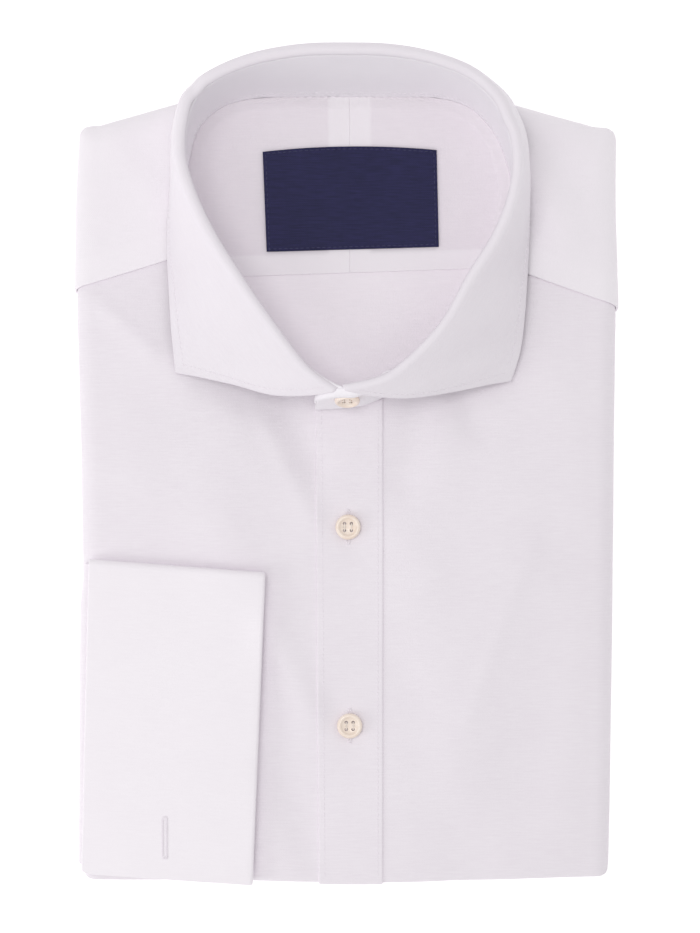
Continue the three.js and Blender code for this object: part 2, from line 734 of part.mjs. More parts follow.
addPiece('folded_layers', foldedLayers(), colours.shade);
addPiece('front_left', frontPanel('left'), colours.body);
addPiece('front_right', frontPanel('right'), colours.body);
addPiece('yoke_outer_left', outerYoke('left'), colours.body);
addPiece('yoke_outer_right', outerYoke('right'), colours.body);
addPiece('placket', placket(), colours.body);
addPiece('yoke_inner_left', neckSheet(-80, yokeSplitX - seamGap / 2, yokeSeamY, 170),
  colours.shade);
addPiece('yoke_inner_right', neckSheet(yokeSplitX + seamGap / 2, 80, yokeSeamY, 170),
  colours.shade);
addPiece('back_panel', neckSheet(-80, 80, 10, yokeSeamY - seamGap), colours.shade);
addPiece('neck_label', neckLabel(), colours.label, 0.8);
addPiece('collar_band', collarBand(), colours.body);
addPiece('collar_leaf', collarLeaf(), colours.body);
addPiece('cuff', doubleCuff(), colours.cuff);
addPiece('sleeve_end', sleeveEnd(), colours.cuff);

for (const [name, x, y] of [['button_upper', 0.1, -26.2], ['button_lower', 0.8, -109.6]]) {
  const piece = addPiece(name, buttonGeometry(), colours.button, 0.35);
  piece.position.set(x, y, frontHeight(x, y) + cloth + 2 * seamGap);
}
const collarButton = addPiece('button_collar', buttonGeometry(), colours.button, 0.35);
const bandLean = Math.atan2(4.9, 24);
collarButton.rotation.x = Math.PI / 2 - bandLean;
collarButton.position.set(-0.4, 25.4, 40.5);

// The shirt's middle, seen from above, is the origin
const middle = new THREE.Box3().setFromObject(shirt, true).getCenter(new THREE.Vector3());
shirt.position.set(-middle.x, -middle.y, 0);

export default shirt;
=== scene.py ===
# A long sleeve dress shirt of fine white poplin with a lilac cast, pressed, folded flat
# and laid on its back, its cutaway collar standing and one double cuff on the front.
# The shirt's own tables are in millimetres: +X to the right, +Y to the collar, +Z up.
import math

import bpy
import numpy as np
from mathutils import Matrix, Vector, noise


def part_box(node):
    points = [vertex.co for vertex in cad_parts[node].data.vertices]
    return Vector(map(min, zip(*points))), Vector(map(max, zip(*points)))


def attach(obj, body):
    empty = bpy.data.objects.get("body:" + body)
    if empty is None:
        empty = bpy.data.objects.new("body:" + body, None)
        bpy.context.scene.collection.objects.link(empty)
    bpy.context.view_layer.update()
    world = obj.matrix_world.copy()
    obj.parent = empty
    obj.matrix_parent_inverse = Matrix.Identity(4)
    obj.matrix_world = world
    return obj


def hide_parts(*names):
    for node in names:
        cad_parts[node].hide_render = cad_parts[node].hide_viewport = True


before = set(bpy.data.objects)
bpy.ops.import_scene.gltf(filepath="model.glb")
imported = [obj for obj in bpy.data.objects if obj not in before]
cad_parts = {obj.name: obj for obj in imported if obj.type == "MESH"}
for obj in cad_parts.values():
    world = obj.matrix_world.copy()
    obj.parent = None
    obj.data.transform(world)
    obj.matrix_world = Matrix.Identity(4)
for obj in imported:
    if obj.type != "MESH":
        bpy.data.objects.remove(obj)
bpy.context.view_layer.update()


# Folded layers: the back, tail and sleeves, pressed flat and folded behind the fronts.
# Poplin, seen only as two more rounded folds under the fronts' own fold at the edges,
# and as the wall of the well inside the neck.
MM = 0.001
shirt_shift = np.array([
    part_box("placket")[0].x / MM + 13.6,
    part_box("neck_label")[0].y / MM - 89.9,
    0.0,
])
side_rows_left = [
    (-176, -111.6), (-121, -111.8), (-57, -111.7), (6, -112.5),
    (48, -113.8), (74, -114.4), (112, -114.2), (142, -112.8),
]
side_rows_right = [
    (-176, 110.3), (-120.6, 111.1), (-57, 111.8), (6, 112.2),
    (44, 112.8), (71.6, 113.3), (112, 112.6), (142, 112.9),
]
hem_rows = [(-112, -175.6), (-41.5, -175.9), (4, -176.9), (64.4, -175.6), (112, -174.4)]
top_rows = [
    (-114, 140.4), (-108, 141.8), (-71, 152.2), (-40, 159.5), (0, 162.5),
    (40, 159.5), (71.3, 151.2), (110.6, 140.4), (114, 139.2),
]
height_rows = [
    (-176, 21.0), (-150, 23.2), (-100, 25.0), (-40, 26.2), (24, 27.0), (38, 26.2),
    (50, 25.0), (62, 23.6), (74, 22.0), (87, 20.6), (102, 19.2), (118, 18.2),
    (132, 17.8), (165, 17.6),
]
edge_reach = 8.0        # how far in the cloth starts to round over a folded edge
fold_share = 0.26       # half height of the fronts' own fold, as a share of the stack
corner_power = 4.0      # how square the folded corners are
fold_depth = 2.1
right_fall = 0.020      # how much the right front falls away beyond its long crease
# Folds of the front: from x, y to x, y, how wide each spreads and how far it rises
front_folds = [
    (-50, 12, -17, -24, 12, 0.6),
    (-56, 2, -47, -36, 15, 0.9),
    (-27, 30, -13, -2, 7, -0.9),
    (-38, 23, -15, -22, 4.5, 0.4),
    (-60, 33, -37, 22, 6, -0.45),
    (-101, 68, -74, 38, 11, 0.7),
    (-108, 71, -83, 48, 4, 0.5),
    (68, -12, 42, -126, 23, 0.9),
    (77, -33, 50, -108, 4, 0.16),
    (38, 12, 30, -60, 16, 0.6),
    (-33, -68, -15, -106, 8, 1.1),
    (-30, -128, -17, -152, 9, -0.6),
    (-30, -156, -22, -172, 8, 0.5),
    (-78, 30, -50, 2, 12, -0.5),
    (-84, -6, -60, -26, 13, 0.5),
    (-62, 38, -44, 22, 7, 0.45),
    (30, 24, 25, -6, 9, -0.8),
    (48, 30, 54, 16, 7, -0.6),
    (88, 40, 100, -20, 14, 0.5),
    (98, -60, 92, -150, 13, 0.5),
    (30, -120, 50, -168, 12, -0.4),
    (76, 124, 92, 96, 8, 0.8),
    (84, 138, 100, 116, 8, -0.6),
    (-86, 128, -98, 100, 11, -0.5),
    (-100, 138, -82, 112, 9, 0.4),
    (-8, -18, 4, -36, 6, -0.25),
    (-7, -100, 4, -119, 6, -0.25),
    (20, -28, 34, -46, 9, 0.35),
    (22, -84, 31, -104, 8, -0.3),
]


def table_value(rows, at):
    """Smooth value of a table at a place along it."""
    last = len(rows) - 1
    if at <= rows[0][0]:
        return rows[0][1]
    if at >= rows[last][0]:
        return rows[last][1]
    index = next(i for i, row in enumerate(rows) if row[0] > at)

    def slope(i):
        low, high = rows[max(i - 1, 0)], rows[min(i + 1, last)]
        return (high[1] - low[1]) / (high[0] - low[0])

    low, high = rows[index - 1], rows[index]
    span = high[0] - low[0]
    t = (at - low[0]) / span
    rise = (2 * t**3 - 3 * t**2 + 1) * low[1] + (3 * t**2 - 2 * t**3) * high[1]
    pull = (t**3 - 2 * t**2 + t) * slope(index - 1) + (t**3 - t**2) * slope(index)
    return rise + pull * span


def front_height(x, y):
    """Height of the front's outer face, before it rounds over at the edges."""
    z = table_value(height_rows, y) - 1.6 * (x / 112.5)**4
    for from_x, from_y, to_x, to_y, width, rise in front_folds:
        along_x, along_y = to_x - from_x, to_y - from_y
        reach = (x - from_x) * along_x + (y - from_y) * along_y
        t = min(max(reach / (along_x**2 + along_y**2), 0), 1)
        far2 = (x - from_x - along_x * t)**2 + (y - from_y - along_y * t)**2
        if far2 < 9 * width * width:
            z += fold_depth * rise * math.exp(-far2 / (width * width))
    beside = x - 77.5 - 0.353 * (y + 30.0)
    lower = min(max((-12.0 - y) / 34.0, 0), 1)
    z -= right_fall * (beside + math.hypot(beside, 4.0)) * lower * lower * (3 - 2 * lower)
    z += 0.32 * noise.noise((x / 30, y / 44, 0.0))
    z += 0.07 * noise.noise((x / 9, y / 12, 4.0))
    return z


def lay(flat_x, flat_y, level=0.0):
    """Where a point of the flat cloth comes to lie on the folded stack, and over its edges."""
    near_y = min(max(flat_y, -170.0), 138.0)
    left = table_value(side_rows_left, near_y) + edge_reach
    right = table_value(side_rows_right, near_y) - edge_reach
    x = min(max(flat_x, left), right)
    low = table_value(hem_rows, x) + edge_reach
    high = table_value(top_rows, x) - edge_reach
    y = min(max(flat_y, low), high)
    top = front_height(x, y)
    over_x, over_y = flat_x - x, flat_y - y
    over = (abs(over_x)**corner_power + abs(over_y)**corner_power)**(1 / corner_power)
    if over < 1e-6:
        return np.array([x, y, top + level])
    half_height = top * fold_share
    arc = math.pi * math.sqrt((edge_reach**2 + half_height**2) / 2)
    turn = min(over / arc, 1.0) * math.pi
    across = (edge_reach + level) * math.sin(turn) / over
    return np.array([
        x + over_x * across,
        y + over_y * across,
        top - half_height * (1 - math.cos(turn)) + level * math.cos(turn),
    ])


def smooth_line(points, steps):
    """A smooth line through points, evenly divided between each two of them."""
    points = [np.array(point, float) for point in points]
    line = []
    for i in range(len(points) - 1):
        start, end = points[i], points[i + 1]
        before = points[i - 1] if i else 2 * start - end
        after = points[i + 2] if i + 2 < len(points) else 2 * end - start
        d0 = max(np.linalg.norm(start - before), 1e-6)**0.5
        d1 = max(np.linalg.norm(end - start), 1e-6)**0.5
        d2 = max(np.linalg.norm(after - end), 1e-6)**0.5
        pull0 = (start - before) / d0 - (end - before) / (d0 + d1) + (end - start) / d1
        pull1 = (end - start) / d1 - (after - start) / (d1 + d2) + (after - end) / d2
        for step in range(steps):
            t = step / steps
            line.append((2 * t**3 - 3 * t**2 + 1) * start + (t**3 - 2 * t**2 + t) * d1 * pull0
                        + (3 * t**2 - 2 * t**3) * end + (t**3 - t**2) * d1 * pull1)
    line.append(points[-1])
    return line


def spread_along(points, shares):
    """Points at given shares of a line's length."""
    points = np.array(points, float)
    lengths = np.r_[0, np.cumsum(np.linalg.norm(np.diff(points, axis=0), axis=1))]
    at = np.array(shares) * lengths[-1]
    return np.stack([np.interp(at, lengths, points[:, k]) for k in range(points.shape[1])], 1)


def make_piece(name, points, faces, flat, material, ply=None):
    """A mesh piece from millimetre points, its flat cloth coordinates and its finish."""
    mesh = bpy.data.meshes.new(name)
    placed = (np.asarray(points, float) + shirt_shift) * MM
    mesh.from_pydata(placed.tolist(), [], faces)
    mesh.materials.append(material)
    mesh.polygons.foreach_set("use_smooth", [True] * len(mesh.polygons))
    uv = mesh.uv_layers.new(name="cloth")
    corner_points = np.zeros(len(mesh.loops), np.int32)
    mesh.loops.foreach_get("vertex_index", corner_points)
    flat = np.asarray(flat, float) * MM
    uv.data.foreach_set("uv", flat[corner_points].astype(np.float32).ravel())
    if ply is not None:
        layer = mesh.attributes.new("ply", "FLOAT", "POINT")
        layer.data.foreach_set("value", np.asarray(ply, np.float32))
    mesh.validate()
    piece = bpy.data.objects.new(name, mesh)
    bpy.context.scene.collection.objects.link(piece)
    return piece


def cloth_shell(name, face, flat, wall, material, ply=None, middle=False, rim=1.0):
    """A sheet of cloth with rounded edges from the grid of its outer face."""
    face = np.asarray(face, float)
    flat = np.asarray(flat, float)
    ply = np.zeros(face.shape[:2]) if ply is None else np.asarray(ply, float)
    both = np.concatenate([face, flat, ply[:, :, None]], 2)
    for _ in range(2):
        ease = [both[:1]]
        ease += [both[:1] * (1 - s) + both[1:2] * s for s in (0.06, 0.2, 0.45)]
        ease += [both[1:-1]]
        ease += [both[-1:] * (1 - s) + both[-2:-1] * s for s in (0.45, 0.2, 0.06)]
        ease += [both[-1:]]
        both = np.concatenate(ease, 0).transpose(1, 0, 2)
    face, flat, ply = both[:, :, :3], both[:, :, 3:5], both[:, :, 5]
    rows, columns = face.shape[:2]
    normal = np.cross(np.gradient(face, axis=1), np.gradient(face, axis=0))
    normal /= np.maximum(np.linalg.norm(normal, axis=2, keepdims=True), 1e-9)
    along = np.linalg.norm(np.diff(face, axis=1), axis=2)
    down = np.linalg.norm(np.diff(face, axis=0), axis=2)
    along = np.concatenate([np.zeros((rows, 1)), np.cumsum(along, 1)], 1)
    down = np.concatenate([np.zeros((1, columns)), np.cumsum(down, 0)], 0)
    edge = np.minimum(np.minimum(along, along[:, -1:] - along),
                      np.minimum(down, down[-1:] - down))
    near = np.clip(edge / (0.55 * wall * rim), 0, 1)
    full = 0.12 + 0.88 * np.sqrt(1 - (1 - near)**2)
    centre = face if middle else face - normal * wall / 2
    offset = normal * (wall / 2 * full)[:, :, None]
    points = np.concatenate([(centre + offset).reshape(-1, 3), (centre - offset).reshape(-1, 3)])
    below = rows * columns
    index = np.arange(below).reshape(rows, columns)
    a, b = index[:-1, :-1].ravel(), index[:-1, 1:].ravel()
    c, d = index[1:, 1:].ravel(), index[1:, :-1].ravel()
    faces = np.concatenate([
        np.stack([a, b, c, d], 1),
        np.stack([d, c, b, a], 1) + below,
    ]).tolist()
    loop = [*index[0, :-1], *index[:-1, -1], *index[-1, :0:-1], *index[:0:-1, 0]]
    for i, start in enumerate(loop):
        end = loop[(i + 1) % len(loop)]
        faces.append([int(end), int(start), int(start + below), int(end + below)])
    return make_piece(name, points, faces, np.tile(flat.reshape(-1, 2), (2, 1)), material,
                      np.tile(ply.ravel(), 2))


def poplin_group():
    """Plain weave with slubs: a shade mask for the yarns and a height for their relief."""
    group = bpy.data.node_groups.new("poplin_weave", "ShaderNodeTree")
    for label, kind, value in [("Flat", "NodeSocketVector", None),
                               ("Thread", "NodeSocketFloat", 3200.0),
                               ("Slub", "NodeSocketFloat", 0.5)]:
        socket = group.interface.new_socket(label, in_out="INPUT", socket_type=kind)
        if value is not None:
            socket.default_value = value
    group.interface.new_socket("Shade", in_out="OUTPUT", socket_type="NodeSocketFloat")
    group.interface.new_socket("Relief", in_out="OUTPUT", socket_type="NodeSocketFloat")
    nodes, links = group.nodes, group.links
    entry = nodes.new("NodeGroupInput")
    leave = nodes.new("NodeGroupOutput")

    def yarn_noise(scale, detail, seed):
        place = nodes.new("ShaderNodeMapping")
        place.inputs["Scale"].default_value = scale
        place.inputs["Location"].default_value = (seed, seed * 0.7, 0)
        links.new(entry.outputs["Flat"], place.inputs["Vector"])
        texture = nodes.new("ShaderNodeTexNoise")
        texture.noise_dimensions = "2D"
        texture.inputs["Scale"].default_value = 1.0
        texture.inputs["Detail"].default_value = detail
        texture.inputs["Roughness"].default_value = 0.55
        links.new(place.outputs["Vector"], texture.inputs["Vector"])
        return texture.outputs["Fac"]

    def work(operation, first, second):
        node = nodes.new("ShaderNodeMath")
        node.operation = operation
        for socket, value in zip(node.inputs, (first, second)):
            if isinstance(value, (int, float)):
                socket.default_value = value
            else:
                links.new(value, socket)
        return node.outputs[0]

    split = nodes.new("ShaderNodeSeparateXYZ")
    links.new(entry.outputs["Flat"], split.inputs["Vector"])
    warp = work("MULTIPLY", split.outputs["X"], entry.outputs["Thread"])
    weft = work("MULTIPLY", split.outputs["Y"], entry.outputs["Thread"])
    weave = work("MULTIPLY", work("SINE", warp, 0), work("SINE", weft, 0))
    weft_slub = yarn_noise((120, 1700, 1), 2.0, 3.1)
    warp_slub = yarn_noise((1300, 60, 1), 2.0, 9.4)
    mottle = yarn_noise((34, 52, 1), 3.0, 21.0)
    slubs = work("ADD", work("MULTIPLY", weft_slub, 0.86), work("MULTIPLY", warp_slub, 0.14))
    uneven = work("MULTIPLY", work("SUBTRACT", slubs, 0.5), entry.outputs["Slub"])
    uneven = work("ADD", uneven, work("MULTIPLY", work("SUBTRACT", mottle, 0.5), 0.35))
    shade = work("ADD", work("ADD", uneven, work("MULTIPLY", weave, 0.05)), 0.5)
    links.new(shade, leave.inputs["Shade"])
    relief = work("ADD", work("MULTIPLY", weave, 0.35), work("MULTIPLY", slubs, 1.2))
    links.new(relief, leave.inputs["Relief"])
    return group


weave = poplin_group()


def poplin(name, dark, light, doubled, slub=0.75, thread=9000.0, sheen=0.12):
    """A cotton finish between two shades, paler by its ply value: where the cloth lies double, and
    on the outer yokes partly as painted light.
    """
    material = bpy.data.materials.new(name)
    material.use_nodes = True
    nodes, links = material.node_tree.nodes, material.node_tree.links
    shader = nodes["Principled BSDF"]
    shader.inputs["Roughness"].default_value = 0.82
    shader.inputs["Specular IOR Level"].default_value = 0.25
    shader.inputs["Sheen Weight"].default_value = sheen
    shader.inputs["Sheen Roughness"].default_value = 0.45
    place = nodes.new("ShaderNodeUVMap")
    place.uv_map = "cloth"
    cloth_node = nodes.new("ShaderNodeGroup")
    cloth_node.node_tree = weave
    cloth_node.inputs["Thread"].default_value = thread
    cloth_node.inputs["Slub"].default_value = slub
    links.new(place.outputs["UV"], cloth_node.inputs["Flat"])
    tone = nodes.new("ShaderNodeMix")
    tone.data_type = "RGBA"
    tone.inputs[6].default_value = (*dark, 1)
    tone.inputs[7].default_value = (*light, 1)
    links.new(cloth_node.outputs["Shade"], tone.inputs["Factor"])
    layers = nodes.new("ShaderNodeAttribute")
    layers.attribute_name = "ply"
    paler = nodes.new("ShaderNodeMix")
    paler.data_type = "RGBA"
    paler.inputs[7].default_value = (*doubled, 1)
    links.new(layers.outputs["Fac"], paler.inputs["Factor"])
    links.new(tone.outputs[2], paler.inputs[6])
    links.new(paler.outputs[2], shader.inputs["Base Color"])
    bump = nodes.new("ShaderNodeBump")
    bump.inputs["Strength"].default_value = 0.35
    bump.inputs["Distance"].default_value = 0.0002
    links.new(cloth_node.outputs["Relief"], bump.inputs["Height"])
    links.new(bump.outputs["Normal"], shader.inputs["Normal"])
    return material


shirt_poplin = poplin("shirt_poplin", (0.830, 0.770, 0.830), (0.910, 0.865, 0.910),
                      (0.935, 0.892, 0.935))


def finish_piece(piece, slot, *nodes):
    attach(piece, "root")
    if nodes:
        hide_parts(*nodes)


def cut_from(piece, flat, held, *carriers):
    """Turns a sheet's flat shape into metres; nothing uses the result."""
    flat = np.asarray(flat, float) * MM


# The collar's own lines, from its left front end round the back to its right front end:
# the crest of the roll, the leaf's outer edge, and the seam of the band to the body
collar_rows = [
    ((-8.2, 30.1, 54.0), (-72.1, 38.3, 28.6), (-11.0, 27.9, 26.6)),
    ((-18.9, 40.4, 54.5), (-72.7, 44.6, 28.6), (-23.0, 34.4, 26.0)),
    ((-35.2, 61.7, 55.5), (-73.9, 57.0, 28.0), (-42.0, 53.8, 24.2)),
    ((-45.5, 76.8, 56.0), (-75.0, 74.9, 24.8), (-52.0, 68.3, 22.3)),
    ((-56.9, 95.2, 56.5), (-75.8, 90.3, 22.0), (-60.0, 83.5, 20.6)),
    ((-65.1, 112.8, 57.0), (-75.2, 107.4, 20.2), (-66.3, 102.3, 18.8)),
    ((-68.8, 126.7, 57.0), (-73.4, 126.7, 19.3), (-68.4, 118.0, 17.8)),
    ((-68.3, 140.2, 57.3), (-71.2, 145.4, 20.2), (-67.2, 130.0, 17.3)),
    ((-64.6, 152.4, 57.6), (-65.6, 157.0, 17.8), (-63.5, 142.0, 17.2)),
    ((-55.6, 159.3, 58.0), (-56.0, 161.4, 15.6), (-54.0, 151.0, 17.2)),
    ((-40.1, 165.9, 58.0), (-40.0, 164.6, 14.2), (-40.0, 155.2, 17.3)),
    ((-19.6, 169.8, 58.0), (-20.0, 167.2, 13.4), (-20.0, 155.9, 17.4)),
    ((0.0, 170.4, 58.0), (0.0, 168.0, 13.0), (0.0, 156.0, 17.4)),
    ((19.7, 169.6, 58.0), (20.0, 167.2, 13.4), (20.0, 155.9, 17.4)),
    ((37.7, 165.9, 58.0), (40.0, 164.4, 14.2), (40.0, 155.2, 17.3)),
    ((52.0, 159.7, 58.0), (55.4, 160.6, 15.6), (53.0, 150.5, 17.2)),
    ((62.2, 150.0, 57.6), (66.6, 154.8, 17.8), (62.5, 140.1, 17.2)),
    ((68.4, 136.9, 57.3), (73.4, 142.0, 20.2), (67.5, 128.5, 17.3)),
    ((70.0, 124.7, 57.0), (75.9, 124.0, 20.6), (69.7, 118.0, 17.8)),
    ((68.4, 111.6, 57.0), (76.2, 108.0, 21.4), (68.4, 104.0, 18.8)),
    ((62.3, 95.2, 56.5), (75.8, 92.0, 23.2), (63.5, 88.0, 20.6)),
    ((51.2, 77.2, 56.0), (75.2, 80.0, 25.4), (56.0, 71.5, 22.3)),
    ((39.4, 56.8, 55.5), (74.0, 62.0, 27.8), (46.0, 56.0, 24.2)),
    ((20.1, 37.9, 54.5), (72.3, 48.0, 29.0), (27.5, 36.3, 26.0)),
    ((4.9, 29.3, 54.0), (68.5, 34.9, 29.2), (14.0, 26.7, 26.6)),
]
collar_steps = 6
crest_line = smooth_line([row[0] for row in collar_rows], collar_steps)
edge_line = smooth_line([row[1] for row in collar_rows], collar_steps)
# Where the roll pinches as it turns round the neck: place, half width, how far in
for pinch_at, pinch_half, pinch_in in (((-63.0, 153.8), 2.4, 1.0), ((68.4, 143.5), 3.0, 0.8)):
    for i in range(len(crest_line)):
        near = math.dist(crest_line[i][:2], pinch_at) / pinch_half
        dent = math.exp(-near * near / 2)
        inward = np.array([0.0, 100.0]) - crest_line[i][:2]
        inward /= np.linalg.norm(inward)
        crest_line[i] = crest_line[i] + (*(inward * pinch_in * dent), -0.9 * pinch_in * dent)
seam_line = smooth_line([row[2] for row in collar_rows], collar_steps)
floor_height = 14.6     # the layers inside the neck
floor_rise = 5.2


def neck_floor(x, y):
    forward = min(max((81.0 - y) / (81.0 - 22.0), 0), 1)
    forward = forward * forward * (3 - 2 * forward)
    soft = 0.5 * noise.noise((x / 26, y / 32, 11.0))
    side = 1.6 * (x / 70)**4 if x < 0 else -1.2 * (x / 70)**2
    return floor_height + floor_rise * forward + side + soft


def seam_out(amount):
    """The neck seam in plan, drawn outwards."""
    loop = np.array([point[:2] for point in seam_line])
    along = np.gradient(loop, axis=0)
    along /= np.linalg.norm(along, axis=1, keepdims=True)
    return loop + np.stack([-along[:, 1], along[:, 0]], 1) * amount


def folded_layers():
    well = [*seam_out(0.4), (14.0, 24.2), (6.0, 23.4), (-4.0, 23.5), (-10.6, 24.2)]
    well = spread_along([*well, well[0]], np.linspace(0, 1, 241)[:-1])
    centre = np.array([0.0, 80.0])
    angles = np.arctan2(*(well - centre).T[::-1])
    outer = []
    for angle in angles:
        way = np.array([math.cos(angle), math.sin(angle)])
        far = min(
            (112.0 / abs(way[0])) if abs(way[0]) > 1e-6 else 1e9,
            ((76.0 if way[1] > 0 else 254.0) / abs(way[1])) if abs(way[1]) > 1e-6 else 1e9)
        outer.append(centre + way * far)
    outer = np.array(outer)
    rings, flats = [], []

    def ring(inset, height_share, drop=0.0, wobble=0.0):
        line = []
        for i, point in enumerate(outer):
            y = min(max(point[1], -170.0), 138.0)
            left = table_value(side_rows_left, y) + inset
            right = table_value(side_rows_right, y) - inset
            x = min(max(point[0], left), right)
            low = table_value(hem_rows, x) + inset
            high = table_value(top_rows, x) - inset
            y = min(max(point[1], low), high)
            push = wobble * noise.noise((x / 23, y / 31, height_share * 9))
            x -= push * math.copysign(1, x)
            way = well[i] - centre
            reach = float(np.linalg.norm(way))
            far = math.hypot(x - centre[0], y - centre[1])
            if far < reach + 1.2:
                x, y = centre + way * (reach + 1.2) / reach
            line.append((x, y, front_height(x, y) * height_share - drop))
        rings.append(line)

    rings.append([(*point, neck_floor(*point) - 3.0) for point in well])
    rings.append([(*point, front_height(*point) - 3.0) for point in well])
    ring(edge_reach + 4, 1.0, 6.0)
    ring(edge_reach, 0.97, 4.0)
    ring(edge_reach + 1.5, 0.5, -0.8)
    for share in np.linspace(0.05, 1, 9):
        turn = share * math.pi
        ring(6.5 - 5.3 * math.sin(turn), 0.48 - 0.12 * (1 - math.cos(turn)), 0.6, 0.5)
    for share in np.linspace(0.05, 1, 9):
        turn = share * math.pi
        ring(6.0 - 5.2 * math.sin(turn), 0.12 * (1 + math.cos(turn)), 0.0, 0.5)
    points = [point for line in rings for point in line]
    count = len(outer)
    faces = []
    for row in range(len(rings) - 1):
        for i in range(count):
            after = (i + 1) % count
            low, high = row * count, (row + 1) * count
            faces.append([low + i, high + i, high + after, low + after])
    well_hub, base_hub = len(points), len(points) + 1
    points += [(0.0, 90.0, neck_floor(0, 90) - 3.0), (0.0, -7.0, 0.0)]
    last = (len(rings) - 1) * count
    for i in range(count):
        after = (i + 1) % count
        faces.append([i, after, well_hub])
        faces.append([last + after, last + i, base_hub])
    flats = [(point[0] + point[2], point[1] + point[2]) for point in points]
    return make_piece("folded_layers_cloth", points, faces, flats, shirt_poplin)


layers_piece = folded_layers()
finish_piece(layers_piece, "inner_cloth", "folded_layers")


# Fronts: two panels of single poplin, sewn to the yokes at the top and to the band at the
# neck, the left lapped under the placket, both turned under at the sides and the hem.
body_wall = 1.0
panel_lap = 12.8
yoke_seam_left = [(-130, 69.2), (-76.4, 85.9), (-50, 94.1)]
yoke_seam_right = [(130, 60.8), (76.0, 80.0), (50, 89.2)]
flat_left, flat_right = -128.0, 127.0
flat_low, flat_high = -192.0, 176.0
neck_front = 3.6        # how far the fronts run in under the band at its front ends
neck_turn = np.abs(np.linspace(-1, 1, len(seam_line)))
neck_turn = np.clip((neck_turn - 0.72) / 0.28, 0, 1)[:, None]
neck_edge = seam_out(1.4) * (1 - neck_turn) + seam_out(1.4 - neck_front) * neck_turn


def seam_y(seam, x):
    rows = sorted(seam)
    return float(np.interp(x, [row[0] for row in rows], [row[1] for row in rows]))


def neck_part(side, above):
    """The stretch of the neck seam that a panel meets, from the yoke seam on."""
    seam = yoke_seam_left if side == "left" else yoke_seam_right
    half = neck_edge[: len(neck_edge) // 2 + 1]
    if side == "right":
        half = neck_edge[len(neck_edge) // 2:][::-1]
    if above:
        return [p for p in half if p[1] >= seam_y(seam, p[0])]
    return [p for p in half if p[1] < seam_y(seam, p[0])][::-1]


def ruled(outer, inner, across):
    """Grid rows between two lines of equal count, first line to second."""
    outer, inner = np.asarray(outer), np.asarray(inner)
    shares = np.linspace(0, 1, across)[None, :, None]
    return outer[:, None, :] * (1 - shares) + inner[:, None, :] * shares


def laid(flat, level=lambda x, y: 0.0):
    return np.array([[lay(x, y, level(x, y)) for x, y in row] for row in flat])


def smooth_step(low, high, value):
    t = min(max((value - low) / (high - low), 0.0), 1.0)
    return t * t * (3 - 2 * t)


lap = 3.0               # how far a front runs on under the yoke


def front_level(side):
    seam = yoke_seam_left if side == "left" else yoke_seam_right
    return lambda x, y: -0.12 * smooth_step(-3.0, 0.2, y - seam_y(seam, x))


def front_flat(side):
    rows = np.linspace(0, 1, 136)
    if side == "left":
        neck = neck_part("left", False)
        start = (neck[0][0] - 0.6, seam_y(yoke_seam_left, neck[0][0] - 0.6) + lap)
        inner = [start, *neck, (-13.4, 23.4), (panel_lap - 0.15, 23.4),
                 (panel_lap - 0.15, flat_low)]
        outer = [(flat_left, seam_y(yoke_seam_left, flat_left) + lap), (flat_left, flat_low)]
        return ruled(spread_along(outer, rows), spread_along(inner, rows), 74)
    neck = [p for p in neck_part("right", False) if p[0] > panel_lap + 0.6]
    start = (neck[0][0] + 0.6, seam_y(yoke_seam_right, neck[0][0] + 0.6) + lap)
    inner = [start, *neck, (panel_lap + 0.15, 24.6), (panel_lap + 0.15, flat_low)]
    outer = [(flat_right, seam_y(yoke_seam_right, flat_right) + lap), (flat_right, flat_low)]
    return ruled(spread_along(inner, rows), spread_along(outer, rows), 66)


for side in ("left", "right"):
    flat = front_flat(side)[::-1]
    panel = cloth_shell(f"front_{side}_cloth", laid(flat, front_level(side)), flat, body_wall,
                        shirt_poplin)
    finish_piece(panel, "shirt_cloth", f"front_{side}")
    cut_from(panel, flat, "folded", "folded_layers_cloth")


# Outer yokes: two shaped pieces that come over the shoulders from the back, felled on to
# the fronts along the slanting seams, and folded under behind the collar.
def yoke_flat(side):
    sign = -1 if side == "left" else 1
    seam = yoke_seam_left if side == "left" else yoke_seam_right
    edge_x = flat_left if side == "left" else flat_right
    middle_x = 0.8 + sign * 0.15
    neck = neck_part(side, True)
    start = (neck[0][0], seam_y(seam, neck[0][0]))
    neck = [p for p in neck if p[0] * sign > abs(middle_x) + 0.5]
    inner = [start, *neck, (middle_x, neck[-1][1])]
    to_corner = spread_along([(edge_x, seam_y(seam, edge_x)), (edge_x, flat_high - 20)],
                             np.linspace(0, 1, 50))
    to_middle = spread_along([(edge_x, flat_high - 20), (sign * 60, flat_high - 6),
                              (middle_x, flat_high)], np.linspace(0, 1, 60))[1:]
    outer = [*to_corner, *to_middle]
    inner = spread_along(inner, np.linspace(0, 1, len(outer)))
    flat = ruled(outer, inner, 40)
    return flat if side == "right" else flat[::-1]


fell_width = 12.0       # seam allowances that lie doubled inside the yoke's lower edge


